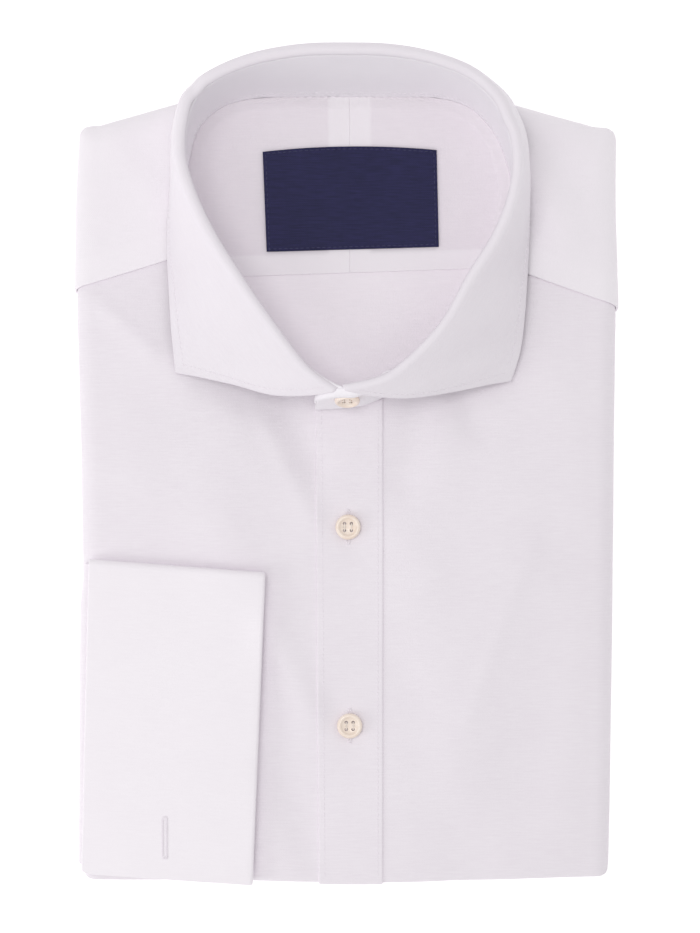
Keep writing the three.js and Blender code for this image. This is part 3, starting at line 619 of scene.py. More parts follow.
def stitch_tree():
    """Stitches laid end to end along a path, each turned the way its place on it says."""
    tree = bpy.data.node_groups.new("stitch_row", "GeometryNodeTree")
    faces = tree.interface
    faces.new_socket("Path", in_out="INPUT", socket_type="NodeSocketGeometry")
    for label, value in (("Pitch", 2.3), ("Stitch Length", 1.8), ("Thread", 0.3)):
        socket = faces.new_socket(label, in_out="INPUT", socket_type="NodeSocketFloat")
        socket.default_value = value * MM
    faces.new_socket("Finish", in_out="INPUT", socket_type="NodeSocketMaterial")
    faces.new_socket("Stitches", in_out="OUTPUT", socket_type="NodeSocketGeometry")
    nodes, links = tree.nodes, tree.links
    entry = nodes.new("NodeGroupInput")
    leave = nodes.new("NodeGroupOutput")
    curve = nodes.new("GeometryNodeMeshToCurve")
    links.new(entry.outputs["Path"], curve.inputs["Mesh"])
    places = nodes.new("GeometryNodeResampleCurve")
    places.mode = "LENGTH"
    links.new(curve.outputs["Curve"], places.inputs["Curve"])
    links.new(entry.outputs["Pitch"], places.inputs["Length"])
    way = nodes.new("GeometryNodeInputNamedAttribute")
    way.data_type = "FLOAT_VECTOR"
    way.inputs["Name"].default_value = "way"
    turn = nodes.new("FunctionNodeAlignRotationToVector")
    turn.axis = "X"
    links.new(way.outputs["Attribute"], turn.inputs["Vector"])
    body = nodes.new("GeometryNodeMeshUVSphere")
    body.inputs["Segments"].default_value = 6
    body.inputs["Rings"].default_value = 5
    body.inputs["Radius"].default_value = 0.5
    size = nodes.new("ShaderNodeCombineXYZ")
    links.new(entry.outputs["Stitch Length"], size.inputs["X"])
    links.new(entry.outputs["Thread"], size.inputs["Y"])
    links.new(entry.outputs["Thread"], size.inputs["Z"])
    row = nodes.new("GeometryNodeInstanceOnPoints")
    links.new(places.outputs["Curve"], row.inputs["Points"])
    links.new(body.outputs["Mesh"], row.inputs["Instance"])
    links.new(turn.outputs["Rotation"], row.inputs["Rotation"])
    links.new(size.outputs["Vector"], row.inputs["Scale"])
    solid = nodes.new("GeometryNodeRealizeInstances")
    links.new(row.outputs["Instances"], solid.inputs["Geometry"])
    coat = nodes.new("GeometryNodeSetMaterial")
    links.new(solid.outputs["Geometry"], coat.inputs["Geometry"])
    links.new(entry.outputs["Finish"], coat.inputs["Material"])
    links.new(coat.outputs["Geometry"], leave.inputs["Stitches"])
    return tree


def thread_finish(name, dark, light):
    """Mercerised cotton thread, its two twisted ends a little uneven in tone."""
    material = bpy.data.materials.new(name)
    material.use_nodes = True
    nodes, links = material.node_tree.nodes, material.node_tree.links
    shader = nodes["Principled BSDF"]
    shader.inputs["Roughness"].default_value = 0.6
    shader.inputs["Sheen Weight"].default_value = 0.15
    place = nodes.new("ShaderNodeTexCoord")
    twist = nodes.new("ShaderNodeTexNoise")
    twist.inputs["Scale"].default_value = 2400.0
    links.new(place.outputs["Object"], twist.inputs["Vector"])
    tone = nodes.new("ShaderNodeMix")
    tone.data_type = "RGBA"
    tone.inputs[6].default_value = (*dark, 1)
    tone.inputs[7].default_value = (*light, 1)
    links.new(twist.outputs["Fac"], tone.inputs["Factor"])
    links.new(tone.outputs[2], shader.inputs["Base Color"])
    return material


stitch_row = stitch_tree()
white_thread = thread_finish("white_thread", (0.80, 0.74, 0.80), (0.95, 0.91, 0.95))
# Painted shade: a darker thread standing in for the shade of a stitched seam line.
seam_thread_painted_shade = thread_finish("seam_thread_painted_shade", (0.66, 0.60, 0.66), (0.82, 0.76, 0.82))


def sew(name, rows, slot, across=None, pitch=2.3, length=1.8, thread=0.3, finish=None):
    """Stitches along rows of points, turned along the row or the way that is given."""
    points, edges, ways = [], [], []
    for row in rows:
        row = np.asarray(row, float)
        first = len(points)
        points += list(row)
        edges += [(first + i, first + i + 1) for i in range(len(row) - 1)]
        ways += list(np.gradient(row, axis=0)) if across is None else [across] * len(row)
    mesh = bpy.data.meshes.new(name)
    placed = (np.array(points) + shirt_shift) * MM
    mesh.from_pydata(placed.tolist(), edges, [])
    attribute = mesh.attributes.new("way", "FLOAT_VECTOR", "POINT")
    ways = np.array(ways, np.float32)
    ways /= np.maximum(np.linalg.norm(ways, axis=1, keepdims=True), 1e-9)
    attribute.data.foreach_set("vector", ways.ravel())
    piece = bpy.data.objects.new(name, mesh)
    bpy.context.scene.collection.objects.link(piece)
    layer = piece.modifiers.new("stitches", "NODES")
    layer.node_group = stitch_row
    sockets = {item.name: item.identifier for item in stitch_row.interface.items_tree
               if item.in_out == "INPUT"}
    layer[sockets["Pitch"]] = pitch * MM
    layer[sockets["Stitch Length"]] = length * MM
    layer[sockets["Thread"]] = thread * MM
    layer[sockets["Finish"]] = finish or white_thread
    view = bpy.context.evaluated_depsgraph_get()
    made = bpy.data.meshes.new_from_object(piece.evaluated_get(view))
    piece.modifiers.clear()
    piece.data = made
    made.polygons.foreach_set("use_smooth", [True] * len(made.polygons))
    finish_piece(piece, slot)
    return piece


def yoke_line(side, above):
    """A row along the yoke's lower edge, from the collar out and over the side fold."""
    seam = yoke_seam_left if side == "left" else yoke_seam_right
    ends = (-116.5, -70.0) if side == "left" else (70.0, 116.5)
    return [lay(x, seam_y(seam, x) + above, 0.22) for x in np.linspace(*ends, 60)]


def fell(side, x, y):
    seam = yoke_seam_left if side == "left" else yoke_seam_right
    return 1 - smooth_step(fell_width - 0.7, fell_width + 0.7, y - seam_y(seam, x))


for side in ("left", "right"):
    flat = yoke_flat(side)
    doubled = np.array([[fell(side, x, y) for x, y in row] for row in flat])
    face = laid(flat, lambda x, y: 0.04 + 0.14 * fell(side, x, y))
    # The outer yokes are paler all over by a ply value of 0.75: partly for their doubled cloth,
    # partly as painted light that lifts the shade on them; the fell band is paler still for its
    # doubled allowances.
    yoke = cloth_shell(f"yoke_outer_{side}_cloth", face, flat, body_wall, shirt_poplin,
                       0.75 + doubled * 0.12, rim=0.6)
    finish_piece(yoke, "shirt_cloth", f"yoke_outer_{side}")
    cut_from(yoke, flat, "folded", "folded_layers_cloth")
    sew(f"yoke_stitches_{side}", [yoke_line(side, 1.3), yoke_line(side, fell_width)],
        "shirt_cloth")


# Inner yoke and back: the sheets seen inside the neck. The inner yoke is cut in two with a
# pressed-open centre seam, and sewn to the back panel, single poplin, below the label.
# Painted light: the back panel takes a paler, pinker copy of the shirt cloth, standing in for
# light bounced into the well of the neck.
inner_poplin_painted_light = poplin("inner_poplin_painted_light", (0.895, 0.836, 0.886), (0.955, 0.906, 0.946),
                      (0.968, 0.932, 0.963))
# Painted shade: the inner yoke halves take a darker copy of the shirt cloth, dimming them where
# the lamps light the neck's well.
yoke_painted_shade_poplin = poplin("inner_yoke_painted_shade", (0.826, 0.767, 0.818), (0.884, 0.833, 0.874),
                     (0.914, 0.872, 0.908))
yoke_base = 81.0
yoke_split = 0.8
sheet_wall = 1.0
strip_half = 9.0        # half width of the pressed-open seam allowance
strip_base = 8.5        # allowance of the seam to the back
well_edge = seam_out(-0.66)


def neck_half_width(y):
    """How far the neck seam reaches to the left and to the right at a place along it."""
    middle = len(well_edge) // 2
    left, right = well_edge[: middle + 1], well_edge[middle:][::-1]
    return (float(np.interp(y, left[:, 1], left[:, 0])),
            float(np.interp(y, right[:, 1], right[:, 0])))


def strip_mask(x, y):
    """1 where seam allowances make the inner yoke double, 0 where it is single."""
    soft = 1.1
    beside = min(max((strip_half - abs(x - yoke_split)) / soft + 0.5, 0), 1)
    lower = min(max((yoke_base + strip_base - y) / soft + 0.5, 0), 1)
    return max(beside, lower)


seam_points = np.array(seam_line)


def turned_up(x, y):
    """How far a sheet's edge turns up into the band's seam near the neck line."""
    far = np.hypot(seam_points[:, 0] - x, seam_points[:, 1] - y)
    near = int(np.argmin(far))
    rise = seam_points[near, 2] + 0.5 - neck_floor(x, y) - 1.0
    return max(rise, 0.0) * (1 - smooth_step(0.7, 6.0, float(far[near])))


def seam_slant(x, y):
    """The seam to the back lies a little lower at the left than at the right."""
    return 0.034 * x * math.exp(-((y - yoke_base) / 22)**2)


def neck_sheet(side, low_y, high_y, count):
    flat, ply = [], []
    for y in np.linspace(low_y, high_y, count):
        left, right = neck_half_width(y)
        low_x, high_x = left, right
        if side == "left":
            high_x = yoke_split + 0.02
        if side == "right":
            low_x = yoke_split - 0.02
        row = [(x, y) for x in np.linspace(low_x, high_x, 84 if side else 110)]
        flat.append(row)
    ply = np.array([[strip_mask(x, y) if side else 0.0 for x, y in row] for row in flat])
    flat = np.array([[(x, y + seam_slant(x, y)) for x, y in row] for row in flat])
    face = np.array([[(x, y, neck_floor(x, y) + 1.0 + 0.3 * p + turned_up(x, y))
                      for (x, y), p in zip(row, plies)] for row, plies in zip(flat, ply)])
    if not side:
        face[:, :, 2] -= np.array([[0.5 * smooth_step(yoke_base - 3, yoke_base, y)
                                    for x, y in row] for row in flat])
    return face, flat, ply


for side in ("left", "right"):
    face, flat, ply = neck_sheet(side, yoke_base, 155.2, 84)
    inner = cloth_shell(f"yoke_inner_{side}_cloth", face, flat, sheet_wall, yoke_painted_shade_poplin,
                        ply * 0.9, rim=0.5)
    finish_piece(inner, "inner_cloth", f"yoke_inner_{side}")
    cut_from(inner, flat, "laid", "folded_layers_cloth")

face, flat, ply = neck_sheet("", 27.5, yoke_base + 2.5, 50)
back = cloth_shell("back_panel_cloth", face, flat, sheet_wall, inner_poplin_painted_light, ply)
finish_piece(back, "inner_cloth", "back_panel")
cut_from(back, flat, "laid", "folded_layers_cloth")


# Neck label: a bare woven navy label, its four edges turned under and sewn down flat on
# the inner yoke, over the centre seam.
label_corners = ((-36.0, 132.2), (37.6, 133.0), (38.5, 92.0), (-34.3, 89.9))
label_wall = 0.9
label_bow = 1.9


def damask_finish():
    """Navy satin-faced damask: fine crosswise yarns with a slight sheen."""
    material = bpy.data.materials.new("navy_damask")
    material.use_nodes = True
    nodes, links = material.node_tree.nodes, material.node_tree.links
    shader = nodes["Principled BSDF"]
    shader.inputs["Roughness"].default_value = 0.6
    shader.inputs["Specular IOR Level"].default_value = 0.3
    shader.inputs["Sheen Weight"].default_value = 0.12
    shader.inputs["Sheen Roughness"].default_value = 0.3
    place = nodes.new("ShaderNodeUVMap")
    place.uv_map = "cloth"
    cloth_node = nodes.new("ShaderNodeGroup")
    cloth_node.node_tree = weave
    cloth_node.inputs["Thread"].default_value = 7000.0
    cloth_node.inputs["Slub"].default_value = 2.0
    links.new(place.outputs["UV"], cloth_node.inputs["Flat"])
    tone = nodes.new("ShaderNodeMix")
    tone.data_type = "RGBA"
    tone.inputs[6].default_value = (0.007, 0.007, 0.044, 1)
    tone.inputs[7].default_value = (0.016, 0.015, 0.076, 1)
    links.new(cloth_node.outputs["Shade"], tone.inputs["Factor"])
    links.new(tone.outputs[2], shader.inputs["Base Color"])
    bump = nodes.new("ShaderNodeBump")
    bump.inputs["Strength"].default_value = 0.4
    bump.inputs["Distance"].default_value = 0.0002
    links.new(cloth_node.outputs["Relief"], bump.inputs["Height"])
    links.new(bump.outputs["Normal"], shader.inputs["Normal"])
    return material


navy_damask = damask_finish()
label_flat = []
for v in np.linspace(0, 1, 40):
    row = []
    for u in np.linspace(0, 1, 60):
        low = np.array(label_corners[3]) * (1 - u) + np.array(label_corners[2]) * u
        high = np.array(label_corners[0]) * (1 - u) + np.array(label_corners[1]) * u
        point = low * (1 - v) + high * v
        point[1] += label_bow * 4 * u * (1 - u) * v
        row.append(point)
    label_flat.append(row)
label_flat = np.array(label_flat)
label_face = np.array([[(x, y, neck_floor(x, y) + 1.35 + label_wall)
                        for x, y in row] for row in label_flat])
label = cloth_shell("neck_label_woven", label_face, label_flat, label_wall, navy_damask)
finish_piece(label, "label_weave", "neck_label")
cut_from(label, label_flat, "laid", "yoke_inner_left_cloth", "yoke_inner_right_cloth")
navy_thread = thread_finish("navy_thread", (0.020, 0.020, 0.075), (0.045, 0.045, 0.130))
label_ring = [*label_face[1, 1:-1], *label_face[1:-1, -2], *label_face[-2, -2:0:-1],
              *label_face[-2:0:-1, 1]]
sew("label_stitches", [label_ring], "label_weave", finish=navy_thread)


# Collar band: the stand, two plies of poplin with interlining between them, sewn to the
# neck and standing round it, its front ends lapped and buttoned under the leaf.
collar_wall = 1.4
roll_front = 2.1        # radius of the roll's outer face at the front ends
roll_back = 2.7         # and round the back
# Painted shade: the collar takes a copy of the shirt cloth a shade darker and less blue, toning
# down the lit side of the leaf.
collar_poplin_painted_shade = poplin("collar_poplin_painted_shade", (0.822, 0.768, 0.826), (0.896, 0.856, 0.900),
                       (0.918, 0.887, 0.922), slub=0.6)


def roll_at(i):
    end_share = abs(2 * i / (len(crest_line) - 1) - 1)
    return roll_back + (roll_front - roll_back) * end_share**4


def ring_outward(line):
    along = np.gradient(np.array(line)[:, :2], axis=0)
    along /= np.linalg.norm(along, axis=1, keepdims=True)
    return np.stack([-along[:, 1], along[:, 0], np.zeros(len(along))], 1)


collar_out = ring_outward(crest_line)
# Painted light: the band takes a much paler copy of the shirt cloth, lifting the shade on its
# inner face and its buttoned end.
band_poplin_painted_light = poplin("band_poplin_painted_light", (0.935, 0.895, 0.945), (0.982, 0.952, 0.988),
                     (0.985, 0.958, 0.990), slub=0.6)
band_tuck = 0.07        # share of the band's height that runs down into the neck seam
under_end = [((7.5, 31.8, 50.8), (6.5, 28.2, 27.6)), ((-1.6, 31.3, 52.4), (-2.0, 27.4, 27.4))]
over_end = [
    ((3.5, 30.1, 52.5), (8.0, 25.6, 28.3)),
    ((-3.0, 29.9, 52.4), (1.0, 24.4, 28.6)),
    ((-8.0, 29.3, 51.2), (-6.0, 23.7, 28.7)),
    ((-10.8, 28.5, 49.2), (-11.0, 23.4, 28.7)),
    ((-12.7, 27.6, 45.4), (-12.8, 23.3, 28.7)),
    ((-13.3, 26.0, 38.5), (-13.6, 23.3, 28.7)),
]
band_rows = list(under_end)
for i in range(collar_steps, len(crest_line) - collar_steps, collar_steps):
    top = np.array(crest_line[i]) - collar_out[i] * (roll_at(i) - collar_wall / 2)
    band_rows.append((top - (0, 0, roll_at(i) + 0.6), seam_line[i]))
band_rows += over_end
end_lip = 1.2           # how far the buttoned end's top edge rolls out and back in
band_top = smooth_line([row[0] for row in band_rows], 5)
band_seam = smooth_line([row[1] for row in band_rows], 5)
band_face, band_flat = [], []
run = 0.0
for i, (top, seam) in enumerate(zip(band_top, band_seam)):
    if i:
        run += float(np.linalg.norm(seam - band_seam[i - 1]))
    line, flat_line = [], []
    front_end = i >= len(band_top) - 30
    for share in np.linspace(0 if front_end else -band_tuck, 1, 20):
        point = seam * (1 - share) + top * share
        soft = 0.5 * math.sin(math.pi * share) * noise.noise((run / 21, share * 1.4, 31.0))
        way = collar_out[min(max(i, 0), len(collar_out) - 1)]
        if front_end:
            lip = smooth_step(0.80, 0.90, share) * (1 - smooth_step(0.94, 1.0, share))
            lip *= smooth_step(len(band_top), len(band_top) - 14, i)
            tuck = smooth_step(0.90, 1.0, share)
            point = point + (0, end_lip * (1.3 * tuck - lip), 0)
        line.append(point + way * soft)
        flat_line.append((run, share * 33.0))
    band_face.append(line)
    band_flat.append(flat_line)
band_face = np.array(band_face)
band_flat = np.array(band_flat)
band = cloth_shell("collar_band_cloth", band_face, band_flat, collar_wall, band_poplin_painted_light,
                   middle=True)
finish_piece(band, "collar_cloth", "collar_band")
cut_from(band, band_flat, "folded", "folded_layers_cloth")
band_in = -np.cross(np.gradient(band_face, axis=1), np.gradient(band_face, axis=0))
band_in /= np.maximum(np.linalg.norm(band_in, axis=2, keepdims=True), 1e-9)
band_skin = band_face + band_in * (collar_wall / 2 + 0.05)
sew("band_stitches", [band_skin[10:-32, 3]], "collar_cloth")


# Collar leaf: the cutaway fall, two plies and a fused interlining, turned out, pressed,
# edge-stitched, joined to the band's top and rolled over it.
leaf_belly = 2.4
# How far the front edges sag below a straight line, by their share of the way to the tip
dip_left = [(0, 0), (0.15, 2.2), (0.37, 3.5), (0.6, 1.3), (0.84, 0.15), (1, 0)]
dip_right = [(0, 0), (0.15, 2.3), (0.35, 3.8), (0.63, 2.4), (0.87, 0.55), (1, 0)]
roll_shares = np.linspace(0, 1, 12)
fall_shares = [0.012, 0.03, 0.06, 0.1, *np.linspace(0.14, 0.97, 28), 1.0]
leaf_ends = ((-5.2, 30.2, 53.4), (-1.6, 31.2, 53.6))
crest_line[0] = np.array(leaf_ends[0])
crest_line[-1] = np.array(leaf_ends[1])
for i in range(1, collar_steps):
    share = (1 - i / collar_steps)**2
    crest_line[i] = crest_line[i] + (np.array(leaf_ends[0]) - collar_rows[0][0]) * share
    crest_line[-1 - i] = crest_line[-1 - i] + (np.array(leaf_ends[1]) - collar_rows[-1][0]) * share


def roll_end(i):
    """Angle from straight up at which the roll runs into the fall."""
    drop = crest_line[i][2] - roll_at(i) - edge_line[i][2]
    run = float(np.dot(np.array(edge_line[i]) - crest_line[i], collar_out[i]))
    return min(max(math.atan2(drop, max(run, 0.5)), 0.12), math.pi / 2)


def leaf_point(i, share):
    """A point of the fall: share 0 at the roll, 1 at the outer edge."""
    radius = roll_at(i) - collar_wall / 2
    angle = roll_end(i)
    start = np.array(crest_line[i]) - (0, 0, roll_at(i) - radius * math.cos(angle))
    start = start + collar_out[i] * radius * math.sin(angle)
    end_share = abs(2 * i / (len(crest_line) - 1) - 1)
    ease = min(max((end_share - 0.9) / 0.1, 0), 1)
    dip = table_value(dip_left if 2 * i < len(crest_line) else dip_right, share)
    dip *= ease * ease * (3 - 2 * ease)
    point = start * (1 - share) + np.array(edge_line[i]) * share
    bow = 4 * share * (1 - share)
    point = point + collar_out[i] * leaf_belly * bow * 0.42
    point[2] += leaf_belly * bow * 0.6 * end_share
    point[1] -= dip
    point[2] += 0.45 * bow * noise.noise((point[0] / 24, point[1] / 24, 51.0))
    return point


leaf_face, leaf_flat = [], []
run = 0.0
for i, crest in enumerate(crest_line):
    radius = roll_at(i) - collar_wall / 2
    centre = np.array(crest) - (0, 0, roll_at(i))
    line = []
    for share in roll_shares:
        angle = -math.pi / 2 + (roll_end(i) + math.pi / 2) * share
        point = centre + collar_out[i] * radius * math.sin(angle)
        point[2] += radius * math.cos(angle)
        line.append(point)
    line += [leaf_point(i, share) for share in fall_shares]
    if i:
        run += float(np.linalg.norm(crest - crest_line[i - 1]))
    down = np.r_[0, np.cumsum(np.linalg.norm(np.diff(np.array(line), axis=0), axis=1))]
    leaf_face.append(line)
    leaf_flat.append([(run, far) for far in down])
leaf_face = np.array(leaf_face)
leaf_flat = np.array(leaf_flat)
leaf = cloth_shell("collar_leaf_cloth", leaf_face, leaf_flat, collar_wall, collar_poplin_painted_shade,
                   middle=True)
finish_piece(leaf, "collar_cloth", "collar_leaf")
cut_from(leaf, leaf_flat, "folded", "collar_band_cloth")
leaf_margin = 4.6       # topstitching inside the leaf's three free edges
leaf_out = np.cross(np.gradient(leaf_face, axis=0), np.gradient(leaf_face, axis=1))
leaf_out /= np.maximum(np.linalg.norm(leaf_out, axis=2, keepdims=True), 1e-9)
leaf_skin = leaf_face + leaf_out * (collar_wall / 2 + 0.05)


def inside_edge(line, far):
    """The point of a line that lies a given way in from its last point."""
    line = line[::-1]
    reach = np.r_[0, np.cumsum(np.linalg.norm(np.diff(line, axis=0), axis=1))]
    return np.array([np.interp(far, reach, line[:, k]) for k in range(3)])


def in_from_edge(i):
    return inside_edge(leaf_skin[i], leaf_margin)


def in_from_front(column, end):
    line = leaf_skin[:, column] if end == "right" else leaf_skin[::-1, column]
    return inside_edge(line, leaf_margin)


front_columns = range(len(roll_shares), leaf_skin.shape[1] - 3)
stitch_left = [in_from_front(column, "left") for column in front_columns]
stitch_right = [in_from_front(column, "right") for column in front_columns]
stitch_edge = [in_from_edge(i) for i in range(4, len(leaf_skin) - 4)]
sew("leaf_stitches", [stitch_left, stitch_edge, stitch_right[::-1]], "collar_cloth")


# Placket: a strip of poplin folded in on both sides and stitched over the edge of the left
# front, with a buttonhole above and below each button that shows.
placket_left, placket_right = -13.6, 14.8
placket_top = 22.6
placket_wall = 1.1
placket_level = 0.8


def placket_x(share, y):
    left = placket_left + 1.4 * min(max((placket_top - y) / 215.0, 0), 1)
    return left * (1 - share) + placket_right * share


placket_flat = []
for v in np.linspace(0, 1, 110):
    row = []
    for u in np.linspace(0, 1, 26):
        top = placket_top + 1.4 + 3.6 * u * u
        y = top * (1 - v) + (flat_low + 4) * v
        row.append((placket_x(u, y), y))
    placket_flat.append(row)
placket_flat = np.array(placket_flat)[::-1]
placket = cloth_shell("placket_cloth", laid(placket_flat, lambda x, y: placket_level),
                      placket_flat, placket_wall, shirt_poplin)
finish_piece(placket, "shirt_cloth", "placket")
cut_from(placket, placket_flat, "laid", "front_left_cloth", "front_right_cloth")
placket_rows = []
for margin in (2.6, -2.2):
    row = []
    for y in np.linspace(placket_top - 0.6, -172.0, 150):
        x = placket_x(0.0 if margin > 0 else 1.0, y) + margin
        row.append(lay(x, y, placket_level + 0.04))
    placket_rows.append(row)
sew("placket_stitches", placket_rows, "shirt_cloth")


def buttonhole(name, x, y, width, length, level, slot):
    """A worked buttonhole: two rows of close bars beside a slit, and a bar at each end."""
    half, bar = length / 2, width * 0.42
    sides = []
    for side in (-1, 1):
        along = np.linspace(y - half, y + half, 40)
        sides.append([level(x + side * (width - bar) / 2, at) for at in along])
    sew(f"{name}_bars", sides, slot, across=(1.0, 0.0, 0.0), pitch=0.36, length=bar * 1.15,
        thread=0.38)
    tacks = []
    for end in (-1, 1):
        along = np.linspace(y + end * (half - 0.2), y + end * (half + 0.9), 4)
        tacks.append([level(x, at) for at in along])
    sew(f"{name}_tacks", tacks, slot, across=(1.0, 0.0, 0.0), pitch=0.34, length=width,
        thread=0.40)


for name, x, y in (("upper", 0.1, -26.2), ("lower", 0.8, -109.6)):
    buttonhole(f"buttonhole_{name}", x, y, 2.1, 13.0,
               lambda x, y: lay(x, y, placket_level + 0.05), "shirt_cloth")


# Cuff: a double cuff of two plies with interlining, pressed flat across, turned back on
# itself and laid on the left front, with one link buttonhole.
cuff_top_left, cuff_top_right = (-108.4, -39.6), (-34.7, -45.0)
cuff_low_right, cuff_low_left = (-40.2, -176.6), (-111.8, -171.8)
cuff_wall = 1.2
cuff_gap = 0.3
cuff_rest = 0.6
corner_lift = 1.3       # the turned corner, rounded
ply_inner = (cuff_wall + cuff_gap) / 2
ply_outer = ply_inner + cuff_wall + cuff_gap
cuff_bend = ply_outer + cuff_wall / 2
# The cuff takes a paler copy of the shirt cloth: partly for its doubled, interlined plies, partly
# as painted light.
cuff_poplin_ply_and_painted_light = poplin("cuff_poplin_ply_and_painted_light", (0.905, 0.855, 0.905), (0.960, 0.920, 0.960),
                     (0.95, 0.92, 0.96), slub=0.6)


def between(start, end, share):
    return start + (end - start) * share


def cuff_point(along, push, depth, share, turn):
    left_x = between(cuff_low_left[0], cuff_top_left[0], share)
    right_x = between(cuff_low_right[0], cuff_top_right[0], share)
    x = between(left_x, right_x, along) + push
    low_y = between(cuff_low_left[1], cuff_low_right[1], along)
    low_y += corner_lift * max(1 - along / 0.03, 0)**2 * (1 - share)
    high_y = between(cuff_top_left[1], cuff_top_right[1], along) - cuff_bend
    y = between(low_y, high_y, share) + depth * math.sin(turn)
    z = front_height(x, y) + cuff_rest + cuff_bend - depth * math.cos(turn)
    return np.array([x, y, z])


cuff_lane = [(share, 0.0, ply_inner) for share in np.linspace(0.012, 0.985, 30)]
for part in np.linspace(0, 1, 9)[1:-1]:
    angle = part * math.pi
    turn_radius = (ply_outer - ply_inner) / 2
    cuff_lane.append((0.985, turn_radius * math.sin(angle),
                      (ply_inner + ply_outer) / 2 - turn_radius * math.cos(angle)))
cuff_lane += [(share, 0.0, ply_outer) for share in np.linspace(0.985, 0.0, 34)]
cuff_wrap = [(share, 0.0) for share in np.linspace(0, 1, 40)]
cuff_wrap += [(1.0, part * math.pi) for part in np.linspace(0, 1, 11)[1:-1]]
cuff_wrap += [(share, math.pi) for share in np.linspace(1, 0, 56)]
cuff_face = np.array([[cuff_point(*lane, *wrap) for lane in cuff_lane] for wrap in cuff_wrap])
cuff_along = np.r_[0, np.cumsum(np.linalg.norm(np.diff(cuff_face[60], axis=0), axis=1))]
cuff_down = np.r_[0, np.cumsum(np.linalg.norm(np.diff(cuff_face[:, 50], axis=0), axis=1))]
cuff_flat = np.array([[(a, -d) for a in cuff_along] for d in cuff_down])
cuff = cloth_shell("cuff_cloth", cuff_face, cuff_flat, cuff_wall, cuff_poplin_ply_and_painted_light, middle=True)
finish_piece(cuff, "cuff_cloth", "cuff")
cut_from(cuff, cuff_flat, "folded", "front_left_cloth")


def cuff_top_face(x, y):
    """A point on the cuff's upper face."""
    level = cuff_rest + cuff_bend + ply_outer + cuff_wall / 2 + 0.04
    return np.array([x, y, front_height(x, y) + level])


buttonhole("link_buttonhole", -76.6, -156.3, 2.9, 16.2, cuff_top_face, "cuff_cloth")


# Sleeve end: the first sleeve, pressed flat, comes round the left side from behind and up
# on to the front, where it runs into the cuff.
sleeve_wall = 1.2
sleeve_bend = ply_inner + cuff_wall * 1.2 + cuff_gap
sleeve_face, sleeve_flat = [], []
for y in np.linspace(-168, -41.6, 70):
    share = (y - cuff_low_left[1]) / (cuff_top_left[1] - cuff_low_left[1])
    cuff_x = between(cuff_low_left[0], cuff_top_left[0], share)
    side = between(-113.8, -112.6, share) + sleeve_wall / 2
    side += 1.6 * smooth_step(-62, -42, y)
    top = front_height(cuff_x, y) + cuff_rest + sleeve_bend
    start = cuff_x + 3.0
    line = [(start, y, top), (start - 1.5, y, top), (start - 3.0, y, top)]
    start -= 3.0
    for part in np.linspace(0, 1, 9)[1:]:
        angle = part * math.pi / 2
        line.append((start - (start - side) * math.sin(angle), y,
                     top - 8 * (1 - math.cos(angle))))
    for z in np.linspace(top - 8, 1.0, 12)[1:]:
        line.append((side + 0.25 * noise.noise((y / 17, z / 6, 71.0)), y, z))
    down = np.r_[0, np.cumsum(np.linalg.norm(np.diff(np.array(line), axis=0), axis=1))]
    sleeve_face.append(line)
    sleeve_flat.append([(-far, y) for far in down])
sleeve_face = np.array(sleeve_face)[::-1]
sleeve_flat = np.array(sleeve_flat)[::-1]
sleeve = cloth_shell("sleeve_end_cloth", sleeve_face, sleeve_flat, sleeve_wall, shirt_poplin,
                     middle=True)
finish_piece(sleeve, "cuff_cloth", "sleeve_end")
cut_from(sleeve, sleeve_flat, "folded", "folded_layers_cloth", "front_left_cloth")


# Buttons: small cream four-hole shirt buttons, turned with a raised rim and a shallow
# well, two on the placket and one on the band under the leaf's front edges.
def horn_finish():
    material = bpy.data.materials.new("cream_button")
    material.use_nodes = True
    nodes, links = material.node_tree.nodes, material.node_tree.links
    shader = nodes["Principled BSDF"]
    shader.inputs["Roughness"].default_value = 0.28
    shader.inputs["Coat Weight"].default_value = 0.3
    shader.inputs["Coat Roughness"].default_value = 0.15
    place = nodes.new("ShaderNodeTexCoord")
    cloud = nodes.new("ShaderNodeTexNoise")
    cloud.inputs["Scale"].default_value = 260.0
    cloud.inputs["Detail"].default_value = 4.0
    links.new(place.outputs["Object"], cloud.inputs["Vector"])
    tone = nodes.new("ShaderNodeMix")
    tone.data_type = "RGBA"
    tone.inputs[6].default_value = (0.86, 0.68, 0.56, 1)
    tone.inputs[7].default_value = (0.99, 0.91, 0.83, 1)
    links.new(cloud.outputs["Fac"], tone.inputs["Factor"])
    links.new(tone.outputs[2], shader.inputs["Base Color"])
    return material


cream_button = horn_finish()
cream_thread = thread_finish("cream_thread", (0.80, 0.70, 0.62), (0.93, 0.86, 0.80))
button_radius = 5.3
button_thick = 2.4
button_profile = [
    (0.0, 0.0), (4.3, 0.0), (4.9, 0.28), (5.2, 0.75), (5.3, 1.2), (5.2, 1.65), (4.95, 2.1),
    (4.6, 2.35), (4.2, 2.4), (3.85, 2.3), (3.55, 2.0), (3.3, 1.65), (2.9, 1.45), (0.0, 1.35),
]


